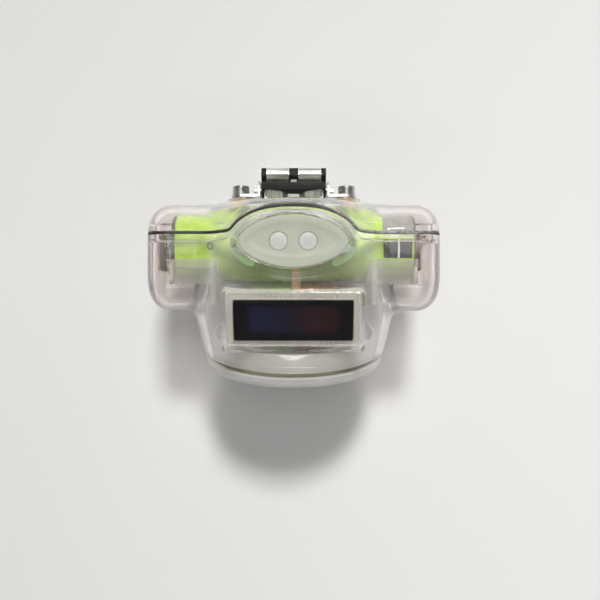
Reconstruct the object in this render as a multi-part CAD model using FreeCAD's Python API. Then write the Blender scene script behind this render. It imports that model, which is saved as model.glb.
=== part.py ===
import FreeCAD, Part
import math
import os

# Cordless cap lamp with a clear two-shell housing. Millimetres, +Z up, lens towards -Y,
# helmet clip towards +Y. The modelling frame has the cell's axis on X; every piece is
# shifted by SHIFT on writing, so the origin ends at the middle of the underside.
V = FreeCAD.Vector
X, Y, Z = V(1, 0, 0), V(0, 1, 0), V(0, 0, 1)

# ---- driving dimensions --------------------------------------------------------------
SHIFT = V(0, 8.183, 32.432)   # cell axis -> bottom centre of the whole lamp
BASE_Z = -32.4                # surface that the lamp rests on

WALL = 2.1                    # clear shells
WING_HALF = 39.0              # half width over the battery wings
WING_FRONT, WING_REAR = -17.6, 11.3
WING_TOP = 13.5
WING_R_LONG, WING_R_END = 10.0, 6.0

CELL_R, CELL_HALF = 9.2, 32.5  # cylindrical cell with its sleeve, 65 mm long
SLEEVE_T = 0.2

LENS_TILT = 13.0              # lens faces this much downwards
RING_C = V(0, -31.7, -8.0)    # middle of the bezel ring's front plane
RING_R = 25.0
HOOD_R = 25.7
HOOD_Z = -4.2                 # hood's rim, behind the ring's front plane

DISP_C = V(0, -20.1, 22.0)    # middle of the sloping window's top face
DISP_TILT = 14.0
WIN_W, WIN_H = 36.0, 15.8
GLASS_W, GLASS_H, GLASS_T = 30.0, 10.5, 1.45

SEAM_Y = 3.05                 # seam on the wings
SEAM_T = 0.8                  # gasket
SEAM_R, SEAM_PHI, SEAM_XC = 2.0, 49.0, -17.1   # hollow arc where the bell leaves the straight
SEAM_BELL = [(-14.2, 5.3), (-12.6, 6.45), (-10.6, 7.5), (-7.4, 8.5), (-3.8, 9.0), (0.0, 9.15)]

PAD_A, PAD_B, PAD_N = 13.6, 6.6, 1.8   # oval pad
PAD_TOP = 23.5
KEY_X, KEY_R = 3.65, 2.1
KEY_POST_X = 13.4

CLIP_Z = 6.0                  # clip screws
CLIP_X = 14.2
PIN_Y, PIN_Z, PIN_R = 15.0, 5.8, 0.8     # main pin of the clip
KNU_Y, KNU_Z, KNU_R = 18.8, 8.4, 1.85    # rolled knuckles
COIL_R, WIRE_R = 2.15, 0.3               # torsion spring
KPIN_R = 0.95
BLADE_T = 0.9


# ---- helpers -------------------------------------------------------------------------
def box(x0, x1, y0, y1, z0, z1):
    return Part.makeBox(x1 - x0, y1 - y0, z1 - z0, V(x0, y0, z0))


def cyl(r, base, axis, h):
    return Part.makeCylinder(r, h, base, axis)


def tube(ro, ri, base, axis, h):
    return cyl(ro, base, axis, h).cut(cyl(ri, base - axis * 1, axis, h + 2))


def tidy(s):
    """Merge split faces where that leaves a sound solid."""
    try:
        r = s.removeSplitter()
        return r if r.isValid() and abs(r.Volume - s.Volume) < 1e-3 * s.Volume else s
    except Exception:
        return s


def fuse(*s):
    out = s[0]
    for o in s[1:]:
        out = out.fuse(o)
    return tidy(out)


def both(s):
    """The piece and its mirror image about X = 0, as separate solids."""
    return Part.makeCompound([s, s.mirror(V(0, 0, 0), X)])


def place(s, origin, deg):
    s = s.copy()
    s.Placement = FreeCAD.Placement(origin, FreeCAD.Rotation(X, deg)).multiply(s.Placement)
    return s


def head(s):
    """Local Z along the lens axis towards the front, local Y up."""
    return place(s, RING_C, 90 + LENS_TILT)


def disp(s):
    """Local Z out of the sloping window, local Y to the rear."""
    return place(s, DISP_C, DISP_TILT)


def revolve(pts):
    """Closed profile of (r, z) points turned about Z. A 3-tuple entry is an arc's middle point."""
    edges = []
    k = 0
    p = list(pts) + [pts[0]]
    while k < len(p) - 1:
        a = p[k]
        b = p[k + 1]
        if len(b) == 3:
            c = p[k + 2]
            edges.append(Part.Arc(V(a[0], 0, a[1]), V(b[0], 0, b[1]), V(c[0], 0, c[1])).toShape())
            k += 2
        else:
            edges.append(Part.LineSegment(V(a[0], 0, a[1]), V(b[0], 0, b[1])).toShape())
            k += 1
    f = Part.Face(Part.Wire(edges))
    return f.revolve(V(0, 0, 0), Z, 360)


def slab_yz(pts, x0, x1):
    """Polygon in (y, z), extruded along X."""
    w = Part.makePolygon([V(x0, a, b) for a, b in pts] + [V(x0, pts[0][0], pts[0][1])])
    return Part.Face(w).extrude(V(x1 - x0, 0, 0))


def strip_path(pts, t):
    """Outline of a thin strip of thickness t that follows the points."""
    left, right = [], []
    n = len(pts)
    for i, (a, b) in enumerate(pts):
        if i == 0:
            d = (pts[1][0] - a, pts[1][1] - b)
            m = 1.0
        elif i == n - 1:
            d = (a - pts[i - 1][0], b - pts[i - 1][1])
            m = 1.0
        else:
            d1 = (a - pts[i - 1][0], b - pts[i - 1][1])
            d2 = (pts[i + 1][0] - a, pts[i + 1][1] - b)
            l1, l2 = math.hypot(*d1), math.hypot(*d2)
            u1, u2 = (d1[0] / l1, d1[1] / l1), (d2[0] / l2, d2[1] / l2)
            d = (u1[0] + u2[0], u1[1] + u2[1])
            m = 1.0 / max(0.5, math.sqrt((1 + u1[0] * u2[0] + u1[1] * u2[1]) / 2))
        l = math.hypot(*d)
        nx, ny = -d[1] / l * t / 2 * m, d[0] / l * t / 2 * m
        left.append((a + nx, b + ny))
        right.append((a - nx, b - ny))
    return left + right[::-1]


def oval(a, b, n, count=48):
    pts = []
    for k in range(count):
        f = 2 * math.pi * k / count
        c, s = math.cos(f), math.sin(f)
        pts.append((a * math.copysign(abs(c) ** (2.0 / n), c), b * math.copysign(abs(s) ** (2.0 / n), s)))
    return pts


def closed_curve(points):
    c = Part.BSplineCurve()
    c.interpolate(Points=points, PeriodicFlag=True)
    return Part.Wire([c.toShape()])


def oval_prism(a, b, n, z0, z1):
    w = closed_curve([V(x, y, z0) for x, y in oval(a, b, n, 40)])
    return Part.Face(w).extrude(V(0, 0, z1 - z0))


def oval_loft(levels, n):
    """levels: (z, half width, half depth, middle y)"""
    ws = [closed_curve([V(x, y + c, z) for x, y in oval(a, b, n, 40)]) for z, a, b, c in levels]
    return Part.makeLoft(ws, True, False)


# ---- outer form of the housing, and the same form set in by a wall --------------------
def wing(i):
    b = box(-WING_HALF + i, WING_HALF - i, WING_FRONT + i, WING_REAR - i, -WING_TOP + i, WING_TOP - i)
    long_edges = [e for e in b.Edges if abs(e.tangentAt(e.FirstParameter).x) > 0.9]
    b = b.makeFillet(WING_R_LONG - i, long_edges)
    ends = [e for e in b.Edges if abs(abs(e.CenterOfMass.x) - (WING_HALF - i)) < 0.01]
    return b.makeFillet(WING_R_END - i, ends)


# section: y, z of the middle, tilt, half width, height up, height down, exponent up, exponent down
SECTIONS = [
    (-27.6, -7.06, 13.0, 25.7, 25.7, 25.85, 2.0, 2.0),
    (-21.5, -6.4, 10.5, 26.9, 27.0, 26.35, 2.25, 2.3),
    (-15.0, -5.6, 7.0, 27.8, 27.4, 27.0, 2.6, 2.8),
    (-8.5, -5.0, 3.5, 28.0, 27.8, 27.45, 2.5, 3.2),
    (-1.0, -5.0, 0.0, 27.6, 27.2, 27.4, 2.3, 3.4),
    (6.0, -5.0, 0.0, 27.0, 26.2, 27.4, 2.2, 3.4),
]
REAR_SECTION = (11.5, -5.0, 0.0, 26.4, 24.3, 26.9, 2.2, 3.4)


def section_wire(sec, i):
    y, z, t, a, up, dn, nu, nd = sec
    c, s = math.cos(math.radians(t)), math.sin(math.radians(t))
    pts = []
    for k in range(48):
        f = 2 * math.pi * k / 48
        cu, su = math.cos(f), math.sin(f)
        n = nu if su >= 0 else nd
        h = (up if su >= 0 else dn) - i
        x = (a - i) * math.copysign(abs(cu) ** (2.0 / n), cu)
        v = h * math.copysign(abs(su) ** (2.0 / n), su)
        pts.append(V(x, y - v * s, z + v * c))
    return closed_curve(pts)


def barrel(i):
    secs = list(SECTIONS)
    y, z, t, a, up, dn, nu, nd = REAR_SECTION
    secs.append((y - i, z, t, a, up, dn, nu, nd))
    wires = [section_wire(s, i) for s in secs]
    if i > 0:
        # run the inner form out through the mouth
        y0, z0, t0 = secs[0][0], secs[0][1], math.radians(secs[0][2])
        ext = (y0 - 1.5 * math.cos(t0), z0 - 1.5 * math.sin(t0)) + tuple(secs[0][2:])
        wires = [section_wire(ext, i)] + wires
    s = Part.makeLoft(wires, True, False)
    if i == 0:
        rear = [e for e in s.Edges if abs(e.CenterOfMass.y - secs[-1][0]) < 0.05 and e.BoundBox.YLength < 0.1]
        try:
            s2 = s.makeFillet(2.0, rear)
            if s2.isValid():
                s = s2
        except Exception:
            print("rear edge left sharp")
    return s


def mound(i):
    return oval_loft([(6.0, 21.6 - i, 11.4 - i, 0.0), (12.5, 20.6 - i, 11.0 - i, 0.0), (17.0 - i * 0.3, 18.4 - i, 10.1 - i, 0.0),
                      (20.8 - i * 0.7, 16.2 - i, 8.9 - i, 0.0), (PAD_TOP + 0.1 - i, 14.5 - i, 7.4 - i, 0.0)], 2.0)


def form(i):
    return fuse(barrel(i), wing(i), mound(i))


# ---- seam ------------------------------------------------------------------------------
def seam_edges(off, half=70.0):
    """The seam's trace in plan, moved to the rear by off along its normal."""
    r = SEAM_R
    phi = math.radians(SEAM_PHI)
    ends = V(SEAM_XC + r * math.sin(phi), SEAM_Y + r * (1 - math.cos(phi)), 0)
    pts = [ends] + [V(x, y, 0) for x, y in SEAM_BELL]
    pts = pts + [V(-p.x, p.y, 0) for p in pts[-2::-1]]
    t0 = V(math.cos(phi), math.sin(phi), 0)
    t1 = V(math.cos(phi), -math.sin(phi), 0)
    base = Part.BSplineCurve()
    base.interpolate(Points=pts, InitialTangent=t0, FinalTangent=t1)
    moved = []
    n = 28
    for k in range(n + 1):
        u = base.FirstParameter + (base.LastParameter - base.FirstParameter) * k / n
        p = base.value(u)
        t = base.tangent(u)[0]
        t.normalize()
        moved.append(V(p.x - t.y * off, p.y + t.x * off, 0))
    mid = Part.BSplineCurve()
    mid.interpolate(Points=moved, InitialTangent=t0, FinalTangent=t1)
    c = V(SEAM_XC, SEAM_Y + r, 0)
    q = r - off
    a0 = V(c.x, c.y - q, 0)
    am = V(c.x + q * math.sin(phi / 2), c.y - q * math.cos(phi / 2), 0)
    a1 = moved[0]
    left = Part.Arc(a0, am, a1).toShape()
    m = lambda p: V(-p.x, p.y, 0)
    right = Part.Arc(moved[-1], m(am), m(a0)).toShape()
    start, stop = V(-half, a0.y, 0), V(half, a0.y, 0)
    return start, stop, [Part.LineSegment(start, a0).toShape(), left, mid.toShape(), right, Part.LineSegment(m(a0), stop).toShape()]


def behind(off):
    """Everything behind the seam moved by off."""
    a, b, edges = seam_edges(off)
    c, d = V(b.x, 60, 0), V(a.x, 60, 0)
    edges += [Part.LineSegment(b, c).toShape(), Part.LineSegment(c, d).toShape(), Part.LineSegment(d, a).toShape()]
    f = Part.Face(Part.Wire(edges))
    f.translate(V(0, 0, -60))
    return f.extrude(V(0, 0, 120))


POSTS = [(21.4, -14.6), (9.6, -25.6)]           # housing screws: x, z
BOARD_POSTS = [(14.6, -9.4), (14.6, 0.2)]       # main board: x, y
BOARD_Z = -17.0                                 # its top face
BOARD_T = 1.2


def step(what, base, tools, sign):
    """Fuse (1) or cut (-1) several pieces at once, and say so if the result isn't sound."""
    for tol in (0.0, 1e-4, 1e-3):
        try:
            r = base.fuse(tools, tol) if sign > 0 else base.cut(tools, tol)
            if r.isValid() and len(r.Solids) == len(base.Solids) and (r.Volume - base.Volume) * sign > 0:
                return r
            print("retry:", what, r.isValid(), len(r.Solids), r.Volume - base.Volume)
        except Exception as e:
            print("retry:", what, e)
    print("NOT APPLIED:", what)
    return base


def housings():
    outer = form(0)
    inner = form(WALL)
    # sloping window: a clear rectangular slab with small corner radii
    win = box(-WIN_W / 2, WIN_W / 2, -WIN_H / 2, WIN_H / 2, -7, 0)
    win = win.makeFillet(1.4, [e for e in win.Edges if abs(e.tangentAt(e.FirstParameter).z) > 0.9])
    win = win.makeFillet(0.4, [e for e in win.Edges if e.BoundBox.ZMin > -0.01])
    # bosses for the clip's brass inserts
    bosses = [Part.makeCone(4.6, 3.5, 4.7, V(s * CLIP_X, 8.0, CLIP_Z), Y) for s in (-1, 1)]
    outer = step("window and bosses", outer, [disp(win)] + bosses, 1)
    pocket = disp(box(-GLASS_W / 2 - 1.9, GLASS_W / 2 + 1.9, -6.85, 6.85, -9, -2.3))
    pad_hole = fuse(oval_prism(12.2, 5.3, PAD_N, 18, 30), oval_prism(PAD_A + 0.05, PAD_B + 0.05, PAD_N, 22.1, 30))
    shell = step("cavity", outer, [inner], -1)
    shell = step("display pocket", shell, [pocket], -1)
    rear_side = behind(SEAM_T / 2)
    front_side = behind(-SEAM_T / 2)
    front = step("front half", shell, [front_side], -1)
    back = shell.common(rear_side)
    gasket = shell.common(front_side).cut(rear_side)

    # columns for the housing screws, each with a rib to the wall
    fcols, bcols, bores = [], [], []
    y1 = SEAM_Y - SEAM_T / 2 - 0.02
    for k, (x, z) in enumerate(POSTS):
        for s in (-1, 1):
            c = cyl(2.7, V(s * x, -8.0, z), Y, 8.0 + y1)
            rib = box(min(s * x, s * 26.4), max(s * x, s * 26.4), -7.9, y1 - 0.1, z - 0.9, z + 0.9) if k == 0 else box(s * x - 0.9, s * x + 0.9, -7.9, y1 - 0.1, -31.0, z)
            fcols.append(tidy(c.fuse(rib)).cut(cyl(1.25, V(s * x, -6.0, z), Y, 20)))
            bcols.append(tube(2.7, 1.45, V(s * x, SEAM_Y + SEAM_T / 2 + 0.02, z), Y, 9.9 - SEAM_Y - SEAM_T / 2))
            bores.append(cyl(2.5, V(s * x, 9.1, z), Y, 20))
    # posts under the main board
    for x, y in BOARD_POSTS:
        for s in (-1, 1):
            zb = BASE_Z + 2.4
            zt = BOARD_Z - BOARD_T
            fcols.append(cyl(2.0, V(s * x, y, zb), Z, zt - zb).cut(cyl(0.8, V(s * x, y, zt - 4), Z, 4.2)))
    # posts over the key board
    for s in (-1, 1):
        fcols.append(cyl(1.1, V(s * KEY_POST_X, 0, 16.8), Z, 3.9).cut(cyl(0.6, V(s * KEY_POST_X, 0, 16), Z, 3.4)))
    front = step("columns", front, fcols, 1)
    front = step("pad opening", front, [pad_hole], -1)
    back = step("rear columns", back, bcols, 1)
    bores += [cyl(2.6, V(s * CLIP_X, 8.9, CLIP_Z), Y, 10) for s in (-1, 1)]
    back = step("rear bores", back, bores, -1)
    return outer, front, back, gasket


# ---- lens end ----------------------------------------------------------------------------
def lens_end(out):
    out["lens_bezel_ring"] = head(revolve([
        (21.2, -0.35), (21.55, 0.0), (23.4, 0.0), (24.55, -0.45, 0), (25.0, -1.6), (25.0, -2.45), (24.75, -2.7), (23.9, -2.7), (23.9, -4.15), (23.3, -4.15),
        (23.3, -9.0), (22.45, -9.0), (22.45, -1.05), (21.2, -1.05)]))
    cap_r = (21.05 ** 2 + 1.5 ** 2) / 3.0
    cap = Part.makeSphere(cap_r, V(0, 0, 0.45 - cap_r)).common(cyl(21.05, V(0, 0, -2.0), Z, 3))
    out["front_lens"] = head(tidy(cyl(22.3, V(0, 0, -3.0), Z, 1.85).fuse(cap)))
    seal = Part.makeTorus(21.55, 0.6, V(0, 0, -3.62), Z)
    out["lens_seal"] = head(seal)

    def para(r):
        return -17.3 + (r * r - 16.0) / (396.0 - 16.0) * 12.9
    inner_pts = [V(r, 0, para(r)) for r in (4.0, 6, 8, 10, 12, 14, 16, 18, 19.9)]
    outer_pts = [V(r + 0.75, 0, para(r) - 0.45) for r in (4.0, 6, 8, 10, 12, 14, 16, 18, 19.5)]
    ci, co = Part.BSplineCurve(), Part.BSplineCurve()
    ci.interpolate(Points=inner_pts)
    co.interpolate(Points=outer_pts)
    top = inner_pts[-1]
    fl0, fl1 = V(22.2, 0, top.z), V(22.2, 0, top.z - 0.6)
    prof = [ci.toShape(), Part.LineSegment(top, fl0).toShape(), Part.LineSegment(fl0, fl1).toShape(),
            Part.LineSegment(fl1, outer_pts[-1]).toShape(), co.toShape(), Part.LineSegment(outer_pts[0], inner_pts[0]).toShape()]
    w = Part.Wire(Part.__sortEdges__(prof))
    out["reflector"] = head(Part.Face(w).revolve(V(0, 0, 0), Z, 360))
    out["led_board"] = head(cyl(8.0, V(0, 0, -19.2), Z, 1.3).cut(fuse(cyl(1.2, V(0, 6.6, -20), Z, 4), cyl(1.2, V(0, -6.6, -20), Z, 4))))
    led = box(-2.5, 2.5, -2.5, 2.5, -17.9, -17.2)
    dome = Part.makeSphere(2.1, V(0, 0, -17.2)).common(box(-3, 3, -3, 3, -17.2, -14))
    out["led_emitter"] = tidy(head(led.fuse(dome)))
    sink = cyl(12.6, V(0, 0, -21.6), Z, 2.4).fuse(tube(12.6, 11.2, V(0, 0, -19.2), Z, 3.0))
    for k in range(16):
        a = math.radians(22.5 * k)
        n = box(10.6, 13.2, -0.55, 0.55, -18.2, -15)
        n.rotate(V(0, 0, 0), Z, math.degrees(a))
        sink = sink.cut(n)
    out["heat_sink"] = head(sink)


# ---- display -------------------------------------------------------------------------------
def display(out):
    g = box(-GLASS_W / 2, GLASS_W / 2, -GLASS_H / 2, GLASS_H / 2, -2.5 - GLASS_T, -2.5)
    g = g.makeFillet(0.5, [e for e in g.Edges if abs(e.tangentAt(e.FirstParameter).z) > 0.9])
    out["display_glass"] = disp(g)
    f = box(-GLASS_W / 2 - 1.7, GLASS_W / 2 + 1.7, -6.7, 6.7, -4.3, -2.4)
    hole = box(-GLASS_W / 2 - 0.12, GLASS_W / 2 + 0.12, -GLASS_H / 2 - 0.12, GLASS_H / 2 + 0.12, -6, 0)
    out["display_frame"] = disp(f.cut(hole))
    b = box(-16.6, 16.6, -6.6, 6.6, -5.15, -4.35)
    pins = []
    for k in range(15):
        pins.append(box(-10.6 + 1.5 * k - 0.3, -10.6 + 1.5 * k + 0.3, 5.9, 6.55, -4.35, -4.31))
    out["display_board"] = disp(b)
    conn = box(-6, 6, -6.2, -4.0, -6.4, -5.15)
    out["display_socket"] = disp(conn)
    # ribbon down to the main board
    top = FreeCAD.Placement(DISP_C, FreeCAD.Rotation(X, DISP_TILT)).multVec(V(0, 6.75, -5.3))
    path = [(top.y - 1.2, top.z - 0.45), (top.y + 0.05, top.z - 0.7), (-12.3, 15.4), (-11.9, 10), (-11.6, 0), (-11.6, BOARD_Z + 0.2)]
    out["display_ribbon"] = slab_yz(strip_path(path, 0.2), 13.0, 16.7)


# ---- keys -----------------------------------------------------------------------------------
def keys(out):
    pad = fuse(oval_prism(PAD_A, PAD_B, PAD_N, 22.15, PAD_TOP), oval_prism(12.1, 5.2, PAD_N, 20.6, 22.3))
    dish = oval_loft([(PAD_TOP - 0.55, 9.6, 3.5, 0), (PAD_TOP - 0.4, 10.9, 4.35, 0), (PAD_TOP + 0.1, 11.9, 5.2, 0)], PAD_N)
    pad = pad.cut(dish)
    pad = pad.cut(oval_prism(8.4, 4.2, 2.0, 20.0, 21.4))
    for s in (-1, 1):
        pad = pad.cut(cyl(KEY_R + 0.06, V(s * KEY_X, 0, 18), Z, 10))
    out["button_pad"] = pad
    for s, n in ((-1, "left"), (1, "right")):
        k = cyl(KEY_R, V(s * KEY_X, 0, 19.4), Z, PAD_TOP - 0.35 - 19.4)
        k = k.makeFillet(0.3, [e for e in k.Edges if abs(e.CenterOfMass.z - (PAD_TOP - 0.35)) < 0.01 and e.BoundBox.ZLength < 0.01])
        out["button_" + n] = k
        out["switch_plunger_" + n] = cyl(1.15, V(s * KEY_X, 0, 17.75), Z, 1.65)
    sw = []
    for s in (-1, 1):
        b = box(s * KEY_X - 2.25, s * KEY_X + 2.25, -2.25, 2.25, 16.7, 18.5)
        b = b.makeFillet(0.3, [e for e in b.Edges if abs(e.tangentAt(e.FirstParameter).z) > 0.9])
        sw.append(b.cut(cyl(1.25, V(s * KEY_X, 0, 16.95), Z, 4)))
    out["tact_switches"] = Part.makeCompound(sw)
    bd = box(-14.8, 14.8, -5.0, 5.0, 15.7, 16.7).common(oval_prism(15.6, 7.2, 2.0, 15.0, 17.5))
    for s in (-1, 1):
        bd = bd.cut(cyl(0.7, V(s * KEY_POST_X, 0, 14), Z, 4))
    out["button_board"] = bd
    path = [(-4.2, 15.58), (-6.4, 15.58), (-9.6, 15.9), (-11.7, 17.2), (-12.9, 18.22), (-14.6, 17.8)]
    out["button_flex"] = slab_yz(strip_path(path, 0.2), -0.4, 1.8)
    scr = []
    for s in (-1, 1):
        scr.append(tidy(cyl(1.3, V(s * KEY_POST_X, 0, 14.68), Z, 1.0).fuse(cyl(0.57, V(s * KEY_POST_X, 0, 15.6), Z, 3.4))))
    out["key_board_screws"] = Part.makeCompound(scr)


# ---- battery --------------------------------------------------------------------------------
def battery(out):
    r = CELL_R
    can = cyl(r - SLEEVE_T - 0.02, V(-CELL_HALF + 0.1, 0, 0), X, 2 * CELL_HALF - 0.5)
    can = tidy(can.fuse(cyl(4.4, V(CELL_HALF - 0.5, 0, 0), X, 1.2)))
    out["battery_cell"] = can
    sl = tube(r, r - SLEEVE_T, V(-CELL_HALF, 0, 0), X, 2 * CELL_HALF - 0.2)
    rim = tube(r, 6.2, V(CELL_HALF - 0.35, 0, 0), X, 0.25)
    out["battery_sleeve"] = fuse(sl, rim)
    # cradle: open to the rear and the top, with two walls that brace it against the front shell
    cr = tube(10.35, 9.4, V(-33.6, 0, 0), X, 33.6 + 33.1)
    keep = slab_yz([(-3.7, 14), (-3.7, 0), (0, 0), (3.0, -5.2), (3.0, -14), (-14, -14), (-14, 14)], -40, 40)
    cr = cr.common(keep)
    cr = cr.cut(box(-19.6, 19.6, -14, 0, -2.5, 14))
    for s in (-1, 1):
        w = box(s * 20.85 - 0.55, s * 20.85 + 0.55, -15.6, -3.7, -10.6, 10.2).fuse(box(s * 32.3 - 0.5, s * 32.3 + 0.5, -10.35, -3.7, -9.8, 9.8))
        w = w.cut(cyl(9.4, V(-45, 0, 0), X, 90))
        cr = cr.fuse(w)
    cr = cr.cut(cyl(9.4, V(-36, 0, 0), X, 72))
    out["battery_cradle"] = tidy(cr)
    # contact plates and the spring at the minus end
    pl = box(CELL_HALF + 1.2, CELL_HALF + 1.7, -6.6, 4.5, -8.0, 8.0)
    pl = pl.fuse(cyl(3.0, V(CELL_HALF + 0.7, 0, 0), X, 0.6).common(box(CELL_HALF + 0.7, CELL_HALF + 2, -4, 4, -4, 4)))
    out["contact_plate_plus"] = tidy(pl)
    mi = box(-CELL_HALF - 3.8, -CELL_HALF - 3.3, -6.6, 4.5, -7.8, 7.8)
    out["contact_plate_minus"] = mi
    h = Part.makeHelix(0.9, 2.7, 4.6, -18)
    p0 = h.Edges[0].Vertexes[0].Point
    t0 = h.Edges[0].tangentAt(h.Edges[0].FirstParameter)
    circ = Part.Wire([Part.makeCircle(0.32, p0, t0)])
    sp = h.makePipeShell([circ], True, True)
    sp.rotate(V(0, 0, 0), Y, 90)
    sp.translate(V(-CELL_HALF - 2.95, 0, 0))
    out["contact_spring"] = sp
    # flat leads under the cell to the main board
    lp = [(-36.05, -7.85), (-35.9, -8.8), (-34.8, -10.1), (-33.2, -11.0), (-16.6, -11.0), (-15.6, -11.9), (-15.6, BOARD_Z)]
    w = strip_path(lp, 0.25)
    f = Part.Face(Part.makePolygon([V(a, -6.6, b) for a, b in w] + [V(w[0][0], -6.6, w[0][1])]))
    out["lead_strip_minus"] = f.extrude(V(0, 3.6, 0))
    lp = [(33.95, -8.0), (33.95, -9.9), (33.0, -11.0), (16.6, -11.0), (15.6, -11.9), (15.6, BOARD_Z)]
    w = strip_path(lp, 0.25)
    f = Part.Face(Part.makePolygon([V(a, -6.6, b) for a, b in w] + [V(w[0][0], -6.6, w[0][1])]))
    out["lead_strip_plus"] = f.extrude(V(0, 3.6, 0))


# ---- main board ---------------------------------------------------------------------------
def board(out):
    b = box(-17.6, 17.6, -12.2, 2.4, BOARD_Z - BOARD_T, BOARD_Z)
    b = b.makeFillet(1.0, [e for e in b.Edges if abs(e.tangentAt(e.FirstParameter).z) > 0.9])
    for x, y in BOARD_POSTS:
        for s in (-1, 1):
            b = b.cut(cyl(0.95, V(s * x, y, -30), Z, 30))
    out["main_board"] = b
    parts = [box(-4.5, 4.5, -4.2, 2.0, BOARD_Z, BOARD_Z + 1.2), box(-11.5, -6.5, -8.2, -3.2, BOARD_Z, BOARD_Z + 3.0),
             box(6.4, 10.2, -2.6, 1.4, BOARD_Z, BOARD_Z + 1.6), box(7.0, 12.4, -9.6, -4.8, BOARD_Z, BOARD_Z + 2.0),
             cyl(2.0, V(-8.8, 0.0, BOARD_Z), Z, 3.4), box(-3.2, 3.2, -9.4, -6.0, BOARD_Z, BOARD_Z + 0.9),
             box(-9.6, -2.0, -9.0, -2.0, BOARD_Z - BOARD_T - 1.4, BOARD_Z - BOARD_T), box(2.0, 8.0, -8.0, -2.0, BOARD_Z - BOARD_T - 1.0, BOARD_Z - BOARD_T)]
    out["board_parts"] = Part.makeCompound(parts)
    sc = []
    for x, y in BOARD_POSTS:
        for s in (-1, 1):
            sc.append(tidy(cyl(1.7, V(s * x, y, BOARD_Z + 0.02), Z, 1.0).fuse(cyl(0.77, V(s * x, y, BOARD_Z - 4.8), Z, 4.9))))
    out["board_screws"] = Part.makeCompound(sc)


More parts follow.
